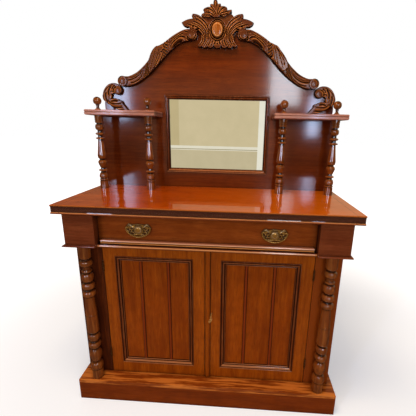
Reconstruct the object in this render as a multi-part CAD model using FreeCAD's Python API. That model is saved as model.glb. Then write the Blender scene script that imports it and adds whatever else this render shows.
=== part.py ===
"""Victorian chiffonier: a two-door cupboard with one long drawer, turned columns,
a carved gallery back with a mirror, and two small shelves on turned colonnettes.

Frame: millimetres, X to the viewer's right, Y towards the wall, Z up.
The origin is on the floor, under the middle of the worktop.
Depths are given as distances in front of the back plane, because the whole
piece is set out from the wall: at_depth() turns one into a Y value.
"""
import FreeCAD, Part
import math
import os

from FreeCAD import Vector

# ---------------------------------------------------------------- driving sizes
# Worktop
TOP_WIDTH = 1220.0
TOP_DEPTH = 486.0
TOP_THICK = 38.0
TOP_HEIGHT = 970.0
TOP_NOSING = 6.5
TOP_LIP = 8.0
TOP_EASE = 1.4
TOP_REEDS = 5
TOP_REED_INSET = 1.2
TOP_REED_DEEP = 1.3

# Plinth and the floor board on it
PLINTH_INSET = 9.0
PLINTH_SETBACK = 26.0
PLINTH_HEIGHT = 110.0
PLINTH_THICK = 22.0
FLOOR_THICK = 18.0
FLOOR_NOSE = 4.0
PLINTH_BLOCK = 38.0
PLINTH_BLOCK_LIFT = 1.0

# Case
CASE_INSET = 35.0
CASE_SETBACK = 90.0
STILE_WIDTH = 113.0
GABLE_THICK = 20.0
STILE_THICK = 22.0
BACK_THICK = 9.0
BACK_BOARDS = 7
BACK_VEE = 1.5

# Frieze blocks over the columns, and the rail under the drawer
BLOCK_WIDTH = 126.0
BLOCK_DEPTH = 75.0
FRIEZE_HEIGHT = 134.0
LIP_THICK = 8.0
LIP_OUT = 10.0
RAIL_THICK = 15.0
RAIL_SETBACK = 16.0
RAIL_BACK = 66.0

# Doors
DOOR_THICK = 22.0
DOOR_GAP = 2.6
MEETING_LINE = -9.0
MEETING_GAP = 2.0
DOOR_HEADROOM = 2.0
PANEL_INSIDE = 61.0
OUTER_STILE = 52.0
TOP_RAIL = 58.0
BOTTOM_RAIL = 54.0
PANEL_THICK = 8.0
PANEL_SETBACK = 10.0
PANEL_TONGUE = 8.0
MOULDING_WIDTH = 24.0
REED_WIDTH = 13.0
REED_HEIGHT = 4.0
REED_INSET = 81.0
BEAD_WIDTH = 24.0
BEAD_PROUD = 8.0

# Drawer
DRAWER_SETBACK = 36.0
DRAWER_GAP = 1.5
DRAWER_FRONT_THICK = 22.0
DRAWER_SIDE_THICK = 12.0
DRAWER_BACK_CLEAR = 26.0
DRAWER_SIDE_HEIGHT = 112.0
DRAWER_BOTTOM_THICK = 6.0
DRAWER_BOTTOM_UP = 10.0
DRAWER_BOTTOM_TONGUE = 5.0
DRAWER_SIDE_INSET = 1.5
DRAWER_MOULD_HEIGHT = 20.0
DRAWER_MOULD_OUT = 12.0
DRAWER_MOULD_INSET = 7.0
RUNNER_THICK = 8.0
GUIDE_HEIGHT = 20.0
KICKER_THICK = 12.0
TOP_RAIL_DEPTH = 22.0

# Cupboard shelf
SHELF_HEIGHT = 440.0
SHELF_THICK = 16.0
SHELF_SETBACK = 50.0
BATTEN = 18.0

# Base columns
COLUMN_INSET = 55.0
COLUMN_FORWARD = 34.0
COLUMN_RADIUS = 28.0

# Gallery back
BACK_INSET = 12.0
BACK_RISE = 416.0
BACKBOARD_THICK = 22.0
MIRROR_WIDTH = 520.0
MIRROR_HEIGHT = 380.0
MIRROR_LIFT = 79.0
MIRROR_FRAME_WIDTH = 19.5
MIRROR_PROUD = 8.0
MIRROR_REBATE = 7.5
GLASS_THICK = 4.0
GLASS_BACKING = 5.0

# Gallery shelves, colonnettes and finials
GALLERY_LIFT = 352.0
GALLERY_THICK = 24.0
GALLERY_DEPTH = 144.0
GALLERY_CLEAR = 15.0
GALLERY_OVERHANG = 7.0
COLONNETTE_INNER_INSET = 46.0
COLONNETTE_OUTER_INSET = 43.0
COLONNETTE_DEPTH = 116.0
COLONNETTE_RADIUS = 20.5
FINIAL_BALL = 18.7
FINIAL_PEDESTAL = 23.0

# Carved pieces, all planted on the front of the gallery back
CARVING_THICK = 20.0
VOLUTE_PROUD = 5.0
VOLUTE_RADIUS = 24.0
CREST_WIDTH = 334.0
CREST_HEIGHT = 142.0
CREST_LAP = 125.0
PALMETTE_WIDTH = 140.0
PALMETTE_HEIGHT = 71.0
PALMETTE_SIDEWAYS = -6.0
PALMETTE_PROUD = 10.0
RING_RISE = 75.0
RING_WIDTH = 74.0
RING_HEIGHT = 87.0
RING_WALL = 6.0
RING_PROUD = 6.0
CABOCHON_WIDTH = 55.0
CABOCHON_HEIGHT = 69.0
CABOCHON_DOME = 14.0
CORNER_SIZE = 133.0
CORNER_INSET = 25.0

# Brass handles
HANDLE_INSET = 171.0
HANDLE_RISE = 63.0
PLATE_WIDTH = 108.0
PLATE_HEIGHT = 56.0
PLATE_THICK = 2.0
BOSS_WIDTH = 34.0
BOSS_HEIGHT = 35.0
BOSS_DOME = 9.0
POST_OFFSET = 42.0
POST_RISE = 14.0
POST_RADIUS = 4.5
POST_LENGTH = 12.0
BAIL_DROP = 32.0
BAIL_RADIUS = 2.4
BAIL_PIN_RADIUS = 1.9
BAIL_STANDOFF = 7.0
BAIL_CORNER = 3.5
BAIL_SIDES = 6

# Butt hinges
HINGE_HEIGHT = 50.0
HINGE_INSET = 108.0
HINGE_LEAF = 1.2
HINGE_BARREL = 3.2
HINGE_PIN = 1.5
HINGE_KNUCKLE = 18.0
HINGE_LEAF_DEPTH = 18.0

# Lock, key and bolts
KEY_OFFSET = 22.0
KEY_RISE = 13.5
KEY_SHANK = 2.5
KEY_BIT = 8.5
KEY_BIT_THICK = 1.6
KEY_BIT_WIDTH = 3.4
KEY_REACH = 40.0
KEY_COLLAR_REACH = 27.0
KEY_COLLAR = 4.0
KEY_BOW = 11.0
KEY_BOW_WALL = 3.2
KEY_BOW_THICK = 3.0
KEY_TURN_DEG = 45.0
LOCK_WIDTH = 46.0
LOCK_HEIGHT = 44.0
LOCK_THICK = 12.0
LOCK_WALL = 1.5
BOLT_HEIGHT = 14.0
BOLT_THICK = 4.0
BOLT_THROW = 9.0
SHOOT_RADIUS = 4.0
SHOOT_LENGTH = 96.0
SHOOT_THROW = 12.0
SHOOT_OFFSET = 30.0
SHOOT_PLATE_WIDTH = 26.0
SHOOT_PLATE_THICK = 2.0
SHOOT_PLATE_LENGTH = 70.0
SHOOT_GUIDE = 9.0
SHOOT_GUIDE_WALL = 2.0
KNOB_RADIUS = 5.0

# How many flat sides stand for a round turning, an oval or a small fitting
COLUMN_SIDES = 12
COLONNETTE_SIDES = 8
FINIAL_SIDES = 8
OVAL_SIDES = 16
FITTING_SIDES = 8

# Clearances
SLIP = 0.3        # between moving pieces and what they pass
RUNNING = 0.05    # radial, round a pin in its bore
SEAT = 0.3        # a loose piece above what carries it
SOCKET_ROOM = 1.0  # round a bolt in its socket or mortice

# ------------------------------------------------------------ worked-out places
BACK_Y = TOP_DEPTH / 2
TOP_UNDERSIDE = TOP_HEIGHT - TOP_THICK
TOP_REED_PITCH = (TOP_THICK - TOP_LIP - TOP_NOSING) / TOP_REEDS
CASE_HALF = TOP_WIDTH / 2 - CASE_INSET
CASE_DEPTH = TOP_DEPTH - CASE_SETBACK
PLINTH_HALF = TOP_WIDTH / 2 - PLINTH_INSET
PLINTH_DEPTH = TOP_DEPTH - PLINTH_SETBACK
DOOR_HALF = CASE_HALF - STILE_WIDTH
BLOCK_INNER = CASE_HALF - BLOCK_WIDTH
BLOCK_FACE = CASE_DEPTH + BLOCK_DEPTH
RAIL_TOP = TOP_UNDERSIDE - FRIEZE_HEIGHT
RAIL_UNDERSIDE = RAIL_TOP - RAIL_THICK
COLUMN_TOP = RAIL_TOP - LIP_THICK
COLUMN_OFFSET = CASE_HALF - COLUMN_INSET
COLUMN_DEPTH = CASE_DEPTH + COLUMN_FORWARD
DOOR_BOTTOM = PLINTH_HEIGHT + DOOR_HEADROOM
DOOR_TOP = RAIL_UNDERSIDE - DOOR_HEADROOM
DOOR_BACK = CASE_DEPTH - DOOR_THICK
DRAWER_FACE = BLOCK_FACE - DRAWER_SETBACK
DRAWER_BACK = BACK_THICK + DRAWER_BACK_CLEAR
DOOR_MEETING_RIGHT = MEETING_LINE + MEETING_GAP / 2
DOOR_MEETING_LEFT = MEETING_LINE - MEETING_GAP / 2
HANDLE_OFFSET = BLOCK_INNER - HANDLE_INSET
HANDLE_HEIGHT = RAIL_TOP + HANDLE_RISE
KEY_HEIGHT = (DOOR_BOTTOM + DOOR_TOP) / 2 + KEY_RISE
BACK_HALF = TOP_WIDTH / 2 - BACK_INSET
MIRROR_HALF = MIRROR_WIDTH / 2
MIRROR_BOTTOM = TOP_HEIGHT + MIRROR_LIFT
MIRROR_TOP = MIRROR_BOTTOM + MIRROR_HEIGHT
GALLERY_UNDERSIDE = TOP_HEIGHT + GALLERY_LIFT
GALLERY_TOP = GALLERY_UNDERSIDE + GALLERY_THICK
GALLERY_INNER = MIRROR_HALF + GALLERY_CLEAR
GALLERY_OUTER = BACK_HALF + GALLERY_OVERHANG
COLONNETTE_OFFSETS = (GALLERY_INNER + COLONNETTE_INNER_INSET,
                      GALLERY_OUTER - COLONNETTE_OUTER_INSET)
CREST_FOOT = GALLERY_TOP + BACK_RISE - CREST_LAP
BAIL_HALF_WIDTH = POST_OFFSET + POST_RADIUS + SLIP + BAIL_CORNER


def at_depth(depth):
    """Y of a point that lies the given distance in front of the back plane."""
    return BACK_Y - depth


# ------------------------------------------------------------------ small tools
def block(x0, x1, depth0, depth1, z0, z1):
    """Rectangular board between two X values, two depths and two heights."""
    return Part.makeBox(x1 - x0, depth1 - depth0, z1 - z0, Vector(x0, at_depth(depth1), z0))


def mirrored(shape):
    """The same piece on the other side of the middle plane."""
    return shape.mirror(Vector(0, 0, 0), Vector(1, 0, 0))


def pair(shape):
    """A piece and its mirror image as one group of two solids."""
    return Part.makeCompound([shape, mirrored(shape)])


def rod(radius, start, direction, length):
    """Round rod from a start point along a direction."""
    return Part.makeCylinder(radius, length, start, direction)


def rectangle_wire(x0, x1, y0, y1, z):
    """Horizontal rectangle as a closed wire."""
    corners = [Vector(x0, y0, z), Vector(x1, y0, z), Vector(x1, y1, z), Vector(x0, y1, z)]
    return Part.makePolygon(corners + corners[:1])


def moulded_slab(x0, x1, back_depth, front_depth, top, profile, ends=(True, True)):
    """Board with one moulding worked on its front edge and, where asked, on its ends.

    profile lists (inset, drop) pairs from the top down: how far the edge stands in
    from the overall size, and how far it is below the top.
    """
    wires = []
    for inset, drop in profile:
        left = x0 + (inset if ends[0] else 0)
        right = x1 - (inset if ends[1] else 0)
        front = at_depth(front_depth - inset)
        wires.append(rectangle_wire(left, right, front, at_depth(back_depth), top - drop))
    return Part.makeLoft(wires, True, True)


def half_round(width, radius_share, steps=4):
    """(inset, drop) pairs of a rounded edge of a board of the given thickness."""
    nose = width * radius_share
    pairs = []
    for step in range(steps + 1):
        angle = math.pi * step / steps
        pairs.append((nose * (1 - math.sin(angle)), width * (1 - math.cos(angle)) / 2))
    return pairs


def mitred_frame(x0, x1, z0, z1, face_depth, profile):
    """Four mitred lengths of moulding round a rectangle, as separate solids.

    profile is a closed list of (inset, proud) pairs: inset from the outer edge
    towards the middle, and proud in front of the face at face_depth.
    """
    corners = ((x0, z0, 1, 1), (x1, z0, -1, 1), (x1, z1, -1, -1), (x0, z1, 1, -1))
    sections = []
    for x, z, inward_x, inward_z in corners:
        points = []
        for inset, proud in profile:
            points.append(Vector(x + inward_x * inset, at_depth(face_depth + proud),
                                 z + inward_z * inset))
        sections.append(Part.makePolygon(points + points[:1]))
    lengths = []
    for index in range(4):
        ends = [sections[index], sections[(index + 1) % 4]]
        lengths.append(Part.makeLoft(ends, True, True))
    return lengths


def arcs(points, depth):
    """Edges through (x, z) points in a plane parallel to the wall.

    Two points make a straight edge. More make arcs of three points each, every arc
    starting on the last point of the one before, so their number is odd.
    """
    spots = [Vector(x, at_depth(depth), z) for x, z in points]
    if len(spots) == 2:
        return [Part.makeLine(spots[0], spots[1])]
    edges = []
    for index in range(0, len(spots) - 2, 2):
        edges.append(Part.Arc(*spots[index:index + 3]).toShape())
    return edges


def plate(pieces, back_depth, thickness):
    """Flat piece parallel to the wall, from its outline.

    pieces is a closed round of point lists for arcs(), each starting where the one
    before ends.
    """
    edges = []
    for points in pieces:
        edges += arcs(points, back_depth)
    face = Part.Face(Part.Wire(edges))
    return face.extrude(Vector(0, -thickness, 0))


def disc(x, z, back_depth, radius, thickness):
    """Round boss parallel to the wall."""
    centre = Vector(x, at_depth(back_depth), z)
    return rod(radius, centre, Vector(0, -1, 0), thickness)


def oval_face(x, z, depth, half_width, half_height, sides, turn_deg=0.0):
    """Oval face parallel to the wall, with short straight sides, turned clockwise."""
    tilt = math.radians(turn_deg)
    spots = []
    for side in range(sides):
        turn = 2 * math.pi * side / sides
        across = half_width * math.cos(turn)
        up = half_height * math.sin(turn)
        spots.append(Vector(x + across * math.cos(tilt) + up * math.sin(tilt), at_depth(depth),
                            z - across * math.sin(tilt) + up * math.cos(tilt)))
    return Part.Face(Part.makePolygon(spots + spots[:1]))


def faceted_rod(radius, start, direction, length, sides=FITTING_SIDES):
    """Rod with flat sides, for the small round parts of fittings."""
    circle = Part.Circle(start, direction, radius)
    spots = [circle.value(2 * math.pi * side / sides) for side in range(sides)]
    face = Part.Face(Part.makePolygon(spots + spots[:1]))
    return face.extrude(direction * length)


def ring_solid(rings, bent=False):
    """Closed solid through flat rings of points.

    The walls between two rings are flat panels, which suits turnings and domes. Where
    the line of rings is bent, each panel is folded into two triangles.
    """
    faces = []
    for ring in (rings[0], rings[-1]):
        faces.append(Part.Face(Part.makePolygon(ring + ring[:1])))
    for low, high in zip(rings, rings[1:]):
        for index in range(len(low)):
            after = (index + 1) % len(low)
            panels = [[low[index], low[after], high[after], high[index]]]
            if bent:
                panels = [panels[0][:3], panels[0][2:] + panels[0][:1]]
            for corners in panels:
                faces.append(Part.Face(Part.makePolygon(corners + corners[:1])))
    shell = Part.makeShell(faces)
    shell.sewShape()
    solid = Part.makeSolid(shell)
    if solid.Volume < 0:
        solid.reverse()
    return solid


def dome(x, z, depth, half_width, half_height, rise):
    """Oval cushion standing on a plane parallel to the wall."""
    rings = []
    for angle_deg in (0, 22, 45, 65, 80):
        share = math.cos(math.radians(angle_deg))
        front = at_depth(depth + rise * math.sin(math.radians(angle_deg)))
        ring = []
        for side in range(OVAL_SIDES):
            turn = 2 * math.pi * side / OVAL_SIDES
            ring.append(Vector(x + half_width * share * math.cos(turn), front,
                               z + half_height * share * math.sin(turn)))
        rings.append(ring)
    return ring_solid(rings)


def turned(profile, radius, x, depth, foot, top, sides):
    """Turned piece standing upright, with flat sides close enough to round.

    profile lists (height share, radius share) pairs from the foot to the top.
    """
    rings = []
    for height_share, radius_share in profile:
        reach = radius * radius_share
        height = foot + (top - foot) * height_share
        ring = []
        for side in range(sides):
            turn = 2 * math.pi * (side + 0.5) / sides
            ring.append(Vector(x + reach * math.cos(turn),
                               at_depth(depth) + reach * math.sin(turn), height))
        rings.append(ring)
    return ring_solid(rings)


# ---------------------------------------------------------------------- turnings
# Heights are shares of the piece's length and radii are shares of its radius.
COLUMN_TURNING = [
    (0.000, 0.90), (0.062, 0.90), (0.072, 0.82), (0.085, 0.97), (0.122, 0.97), (0.133, 0.58),
    (0.155, 0.88), (0.190, 0.96), (0.222, 0.88), (0.238, 0.56),
    (0.250, 0.95), (0.278, 0.95), (0.290, 0.58),
    (0.316, 0.93), (0.345, 0.93), (0.358, 0.64),
    (0.375, 0.93), (0.500, 0.88), (0.636, 0.64),
    (0.646, 0.97), (0.668, 0.97), (0.680, 0.56),
    (0.698, 0.95), (0.722, 0.95), (0.734, 0.56),
    (0.757, 0.88), (0.782, 0.90), (0.798, 0.56),
    (0.812, 0.76), (0.820, 0.56), (0.850, 0.56),
    (0.862, 0.92), (0.880, 0.92), (0.890, 0.62), (0.906, 0.87), (1.000, 0.87),
]
COLONNETTE_TURNING = [
    (0.000, 0.97), (0.100, 0.95), (0.108, 0.84), (0.118, 0.97), (0.138, 0.84),
    (0.150, 0.95), (0.178, 1.00), (0.205, 0.92), (0.228, 0.56),
    (0.246, 0.56), (0.256, 0.98), (0.267, 0.56),
    (0.285, 0.52), (0.330, 0.84), (0.367, 1.00), (0.392, 0.90), (0.406, 0.62),
    (0.430, 0.88), (0.465, 0.98), (0.570, 0.77), (0.680, 0.60),
    (0.694, 1.00), (0.712, 0.58), (0.738, 0.56),
    (0.768, 0.98), (0.795, 0.66), (0.812, 0.56),
    (0.855, 0.95), (0.880, 0.84), (0.897, 0.60), (0.912, 0.92), (1.000, 0.95),
]
# Ogee pedestal of a finial: shares of its own height and of the ball's radius.
FINIAL_PEDESTAL_TURNING = [(0.0, 0.68), (0.10, 0.72), (0.30, 0.62), (0.62, 0.38), (0.92, 0.32)]


# -------------------------------------------------------------------------- base
def plinth():
    """Mitred plinth boards, the back rail between them and glue blocks behind."""
    under = PLINTH_HEIGHT - FLOOR_THICK
    inner = PLINTH_HALF - PLINTH_THICK
    front = block(-PLINTH_HALF, PLINTH_HALF, PLINTH_DEPTH - PLINTH_THICK, PLINTH_DEPTH, 0, under)
    side = block(inner, PLINTH_HALF, 0, PLINTH_DEPTH - PLINTH_THICK, 0, under)
    back = block(-inner, inner, 0, PLINTH_THICK, 0, under)
    corner_depth = PLINTH_DEPTH - PLINTH_THICK
    glue = []
    for depth in (PLINTH_THICK, corner_depth - PLINTH_BLOCK):
        glue.append(block(inner - PLINTH_BLOCK, inner, depth, depth + PLINTH_BLOCK,
                          PLINTH_BLOCK_LIFT, under))
    rest = [side, mirrored(side), back] + glue + [mirrored(piece) for piece in glue]
    return {"plinth_front": front, "plinth_frame": Part.makeCompound(rest)}


def floor_board():
    """Cupboard floor, which runs out in front of the doors as the columns' ledge."""
    nose = FLOOR_NOSE
    profile = [(nose, 0), (nose * 0.3, nose * 0.3), (0, nose), (0, FLOOR_THICK)]
    board = moulded_slab(-PLINTH_HALF, PLINTH_HALF, 0, PLINTH_DEPTH, PLINTH_HEIGHT, profile)
    return board.cut(shoot_socket(PLINTH_HEIGHT - SHOOT_THROW, PLINTH_HEIGHT))


def case_sides():
    """Gables, and the broad front stiles that the doors hang on."""
    gable = block(CASE_HALF - GABLE_THICK, CASE_HALF, 0, CASE_DEPTH - STILE_THICK,
                  PLINTH_HEIGHT, TOP_UNDERSIDE)
    stile = block(DOOR_HALF, CASE_HALF, CASE_DEPTH - STILE_THICK, CASE_DEPTH,
                  PLINTH_HEIGHT, TOP_UNDERSIDE)
    return {
        "gable_right": gable,
        "gable_left": mirrored(gable),
        "front_stile_right": stile,
        "front_stile_left": mirrored(stile),
    }


def back_boards():
    """Upright back boards with a small vee at each joint."""
    half = CASE_HALF - GABLE_THICK
    width = 2 * half / BACK_BOARDS
    boards = []
    for index in range(BACK_BOARDS):
        left = -half + index * width
        outline = [(left, BACK_THICK), (left, BACK_VEE), (left + BACK_VEE, 0),
                   (left + width - BACK_VEE, 0), (left + width, BACK_VEE),
                   (left + width, BACK_THICK)]
        points = [Vector(x, at_depth(depth), PLINTH_HEIGHT) for x, depth in outline]
        face = Part.Face(Part.makePolygon(points + points[:1]))
        boards.append(face.extrude(Vector(0, 0, TOP_UNDERSIDE - PLINTH_HEIGHT)))
    return Part.makeCompound(boards)


def drawer_rail():
    """Rail under the drawer, with an astragal on its front edge between the blocks."""
    nose = half_round(RAIL_THICK, 0.5)
    front = moulded_slab(-BLOCK_INNER, BLOCK_INNER, CASE_DEPTH, BLOCK_FACE - RAIL_SETBACK,
                         RAIL_TOP, nose, ends=(False, False))
    rear = block(-DOOR_HALF, DOOR_HALF, CASE_DEPTH - RAIL_BACK, CASE_DEPTH,
                 RAIL_UNDERSIDE, RAIL_TOP)
    socket = shoot_socket(RAIL_UNDERSIDE, RAIL_UNDERSIDE + SHOOT_THROW)
    return front.fuse(rear).removeSplitter().cut(socket)


def drawer_framing():
    """Runners with guides under the drawer, and kickers with the back top rail."""
    back = BACK_THICK
    front = CASE_DEPTH - RAIL_BACK
    guide = BLOCK_INNER - DRAWER_SIDE_INSET - DRAWER_GAP + SLIP * 2
    wall = CASE_HALF - GABLE_THICK
    bearer = block(guide - 2 * DRAWER_SIDE_THICK, wall, back, front,
                   RAIL_TOP - RUNNER_THICK, RAIL_TOP)
    strip = block(guide, guide + DRAWER_SIDE_THICK, back, front, RAIL_TOP, RAIL_TOP + GUIDE_HEIGHT)
    runner = bearer.fuse(strip)
    kicker = block(guide - 2 * DRAWER_SIDE_THICK, wall, back + TOP_RAIL_DEPTH,
                   CASE_DEPTH - STILE_THICK, TOP_UNDERSIDE - KICKER_THICK, TOP_UNDERSIDE)
    rail = block(-wall, wall, back, back + TOP_RAIL_DEPTH,
                 TOP_UNDERSIDE - KICKER_THICK, TOP_UNDERSIDE)
    return Part.makeCompound([runner, mirrored(runner), kicker, mirrored(kicker), rail])


def cupboard_shelf():
    """Shelf inside the cupboard and the battens that carry it."""
    wall = CASE_HALF - GABLE_THICK
    front = CASE_DEPTH - STILE_THICK - SHELF_SETBACK
    shelf = block(-wall, wall, BACK_THICK, front, SHELF_HEIGHT - SHELF_THICK, SHELF_HEIGHT)
    batten = block(wall - BATTEN, wall, BACK_THICK, front,
                   SHELF_HEIGHT - SHELF_THICK - BATTEN, SHELF_HEIGHT - SHELF_THICK)
    return {"cupboard_shelf": shelf, "shelf_battens": pair(batten)}


def frieze_block():
    """Block over a column, with a thin lip under it that stands out in front and outside."""
    body = block(BLOCK_INNER, CASE_HALF, CASE_DEPTH, BLOCK_FACE, RAIL_TOP, TOP_UNDERSIDE)
    lip = moulded_slab(BLOCK_INNER, CASE_HALF + LIP_OUT, CASE_DEPTH, BLOCK_FACE + LIP_OUT,
                       RAIL_TOP, half_round(LIP_THICK, 0.5), ends=(False, True))
    return body.fuse(lip)


def worktop():
    """Worktop: nosing, reeded band and lower lip on its front edge and its ends."""
    groove = TOP_REED_INSET + TOP_REED_DEEP
    profile = [(TOP_EASE, 0), (0, TOP_EASE), (0, TOP_NOSING - TOP_EASE), (TOP_REED_INSET, TOP_NOSING)]
    for reed in range(TOP_REEDS):
        start = TOP_NOSING + reed * TOP_REED_PITCH
        profile.append((groove, start + TOP_REED_PITCH * 0.1))
        profile.append((TOP_REED_INSET, start + TOP_REED_PITCH * 0.5))
    lip = TOP_NOSING + TOP_REEDS * TOP_REED_PITCH
    profile.append((groove, lip))
    profile.append((0, lip + TOP_EASE))
    profile.append((0, TOP_THICK - TOP_EASE))
    profile.append((TOP_EASE, TOP_THICK))
    return moulded_slab(-TOP_WIDTH / 2, TOP_WIDTH / 2, 0, TOP_DEPTH, TOP_HEIGHT, profile)


def base_column():
    """Turned column between the ledge and the lip of the frieze block."""
    return turned(COLUMN_TURNING, COLUMN_RADIUS, COLUMN_OFFSET, COLUMN_DEPTH,
                  PLINTH_HEIGHT, COLUMN_TOP, COLUMN_SIDES)


# ------------------------------------------------------------------ gallery back
# Outlines of the right-hand half, as point lists for arcs(). Those of the back and
# its scroll rails are shares of the back's half width and of BACK_RISE above the
# gallery shelves.
BOARD_SHOULDER = [(0.948, 0.000), (0.942, 0.160), (0.900, 0.270), (0.862, 0.296),
                  (0.799, 0.286)]
BOARD_SWEEP = [(0.799, 0.286), (0.773, 0.345), (0.710, 0.392), (0.648, 0.430), (0.585, 0.493),
               (0.538, 0.567), (0.502, 0.631), (0.462, 0.695), (0.408, 0.752), (0.355, 0.802),
               (0.293, 0.850), (0.234, 0.874), (0.181, 0.879)]
BOARD_TOP = [(0.181, 0.879), (0.150, 0.895), (0.117, 0.952), (0.064, 0.988), (0.000, 1.000)]
SCROLL_TOP = [(0.197, 0.895), (0.247, 0.893), (0.294, 0.871), (0.355, 0.824), (0.435, 0.748),
              (0.475, 0.717), (0.517, 0.655), (0.545, 0.600), (0.559, 0.567), (0.599, 0.507),
              (0.657, 0.440), (0.719, 0.400), (0.763, 0.395)]
SCROLL_UNDER = [(0.766, 0.285), (0.726, 0.283), (0.676, 0.307), (0.625, 0.343), (0.565, 0.402),
                (0.520, 0.457), (0.464, 0.536), (0.411, 0.617), (0.328, 0.717), (0.268, 0.760),
                (0.197, 0.781)]
SCROLL_VOLUTES = [(0.197, 0.838), (0.774, 0.340)]

# The crest's outline in shares of its half width and its height: the lobes of its
# lower edge, its waist, then the side leaf up to the shoulder.
CREST_PIECES = [
    [(0.000, 0.000), (0.072, 0.021), (0.108, 0.085)],
    [(0.108, 0.085), (0.192, 0.000), (0.281, 0.056)],
    [(0.281, 0.056), (0.362, 0.000), (0.440, 0.056)],
    [(0.440, 0.056), (0.515, 0.035), (0.563, 0.106)],
    [(0.563, 0.106), (0.485, 0.204), (0.452, 0.324), (0.479, 0.472), (0.551, 0.542)],
    [(0.551, 0.542), (0.617, 0.507), (0.677, 0.592)],
    [(0.677, 0.592), (0.855, 0.598), (1.000, 0.746)],
    [(1.000, 0.746), (0.840, 0.818), (0.683, 0.866)],
    [(0.683, 0.866), (0.701, 0.937), (0.686, 1.000)],
    [(0.686, 1.000), (0.551, 0.970), (0.443, 0.915)],
    [(0.443, 0.915), (0.407, 0.972), (0.311, 1.000)],
]
# The palmette in shares of its half width and its height, from the foot of its
# middle leaf round the side leaves to the tip.
PALMETTE_PIECES = [
    [(0.000, 0.000), (0.200, 0.029), (0.371, 0.143)],
    [(0.371, 0.143), (0.486, 0.043), (0.629, 0.129)],
    [(0.629, 0.129), (0.857, 0.171), (0.986, 0.371)],
    [(0.986, 0.371), (0.829, 0.436), (0.700, 0.429)],
    [(0.700, 0.429), (0.600, 0.650), (0.343, 0.600)],
    [(0.343, 0.600), (0.346, 0.700), (0.314, 0.800)],
    [(0.314, 0.800), (0.200, 0.786), (0.129, 0.743)],
    [(0.129, 0.743), (0.115, 0.890), (0.000, 1.000)],
]
# The corner scroll in shares of its size, measured inwards from its outer edge and
# up from the shelf: the tail and the leaf, the two lobes, then the back of the C.
CORNER_PIECES = [
    [(1.000, 0.000), (0.905, 0.125), (0.767, 0.286)],
    [(0.767, 0.286), (0.740, 0.375), (0.647, 0.406)],
    [(0.647, 0.406), (0.500, 0.465), (0.330, 0.450)],
    [(0.330, 0.450), (0.378, 0.525), (0.355, 0.590)],
    [(0.355, 0.590), (0.415, 0.628), (0.489, 0.632)],
    [(0.489, 0.632), (0.609, 0.588), (0.730, 0.650), (0.768, 0.780), (0.712, 0.912),
     (0.602, 0.975), (0.474, 1.000), (0.323, 0.977), (0.203, 0.910), (0.090, 0.782),
     (0.023, 0.624), (0.002, 0.520), (0.038, 0.391), (0.160, 0.284), (0.323, 0.180),
     (0.560, 0.070), (0.835, 0.000)],
    [(0.835, 0.000), (1.000, 0.000)],
]
CORNER_EYE = (0.602, 0.759)


def scaled(points, x, width, z, height):
    """Outline points given as shares, placed from (x, z) with a width and a height."""
    return [(x + width * share_x, z + height * share_z) for share_x, share_z in points]


def swept(points):
    """Points of the gallery back's drawing as (x, z)."""
    return scaled(points, 0, BACK_HALF, GALLERY_TOP, BACK_RISE)


def both_sides(pieces, middle=0.0):
    """A right-hand outline and its reflection, as one closed list of pieces."""
    left = []
    for points in reversed(pieces):
        left.append([(2 * middle - x, z) for x, z in reversed(points)])
    return pieces + left


def gallery_boards():
    """Stiles with the swept shoulder, the rail under the mirror and the pediment."""
    half = BACK_HALF
    joint = MIRROR_HALF
    shoulder = swept(BOARD_SHOULDER)
    edge = [[(0, TOP_HEIGHT), (half, TOP_HEIGHT)], [(half, TOP_HEIGHT), (half, GALLERY_TOP)],
            [(half, GALLERY_TOP), shoulder[0]], shoulder, swept(BOARD_SWEEP), swept(BOARD_TOP)]
    whole = plate(both_sides(edge), 0, BACKBOARD_THICK)
    above = GALLERY_TOP + BACK_RISE
    stile = whole.common(block(joint, half, 0, BACKBOARD_THICK, TOP_HEIGHT, above))
    pediment = whole.common(block(-joint, joint, 0, BACKBOARD_THICK, MIRROR_TOP, above))
    low_rail = block(-joint, joint, 0, BACKBOARD_THICK, TOP_HEIGHT, MIRROR_BOTTOM)
    return {
        "back_stile_right": stile,
        "back_stile_left": mirrored(stile),
        "back_low_rail": low_rail,
        "pediment_board": pediment,
    }


def mirror_set():
    """Rebated mirror frame of four mitred lengths, the glass and its backing."""
    width = MIRROR_FRAME_WIDTH
    proud = MIRROR_PROUD
    rebate = width - MIRROR_REBATE
    glass_front = -MIRROR_PROUD / 2
    back = glass_front - GLASS_THICK - GLASS_BACKING
    profile = [(0, back), (0, 0.7 * proud), (0.12 * width, proud), (0.56 * width, proud),
               (0.66 * width, 0.8 * proud), (width, 0), (width, glass_front),
               (rebate, glass_front), (rebate, back)]
    frame = mitred_frame(-MIRROR_HALF, MIRROR_HALF, MIRROR_BOTTOM, MIRROR_TOP,
                         BACKBOARD_THICK, profile)
    inner = MIRROR_HALF - rebate
    low = MIRROR_BOTTOM + rebate
    high = MIRROR_TOP - rebate
    face = BACKBOARD_THICK + glass_front
    glass = block(-inner, inner, face - GLASS_THICK, face, low, high)
    backing = block(-inner, inner, face - GLASS_THICK - GLASS_BACKING, face - GLASS_THICK,
                    low, high)
    return {
        "mirror_frame": Part.makeCompound(frame),
        "mirror_glass": glass,
        "mirror_backing": backing,
    }


def gallery_shelf():
    """Small shelf with a reeded edge on three sides."""
    edge = GALLERY_THICK
    profile = [(0.12 * edge, 0), (0, 0.12 * edge), (0, 0.34 * edge), (0.08 * edge, 0.42 * edge),
               (0, 0.5 * edge), (0, 0.86 * edge), (0.14 * edge, edge)]
    return moulded_slab(GALLERY_INNER, GALLERY_OUTER, BACKBOARD_THICK,
                        BACKBOARD_THICK + GALLERY_DEPTH, GALLERY_TOP, profile)


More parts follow.
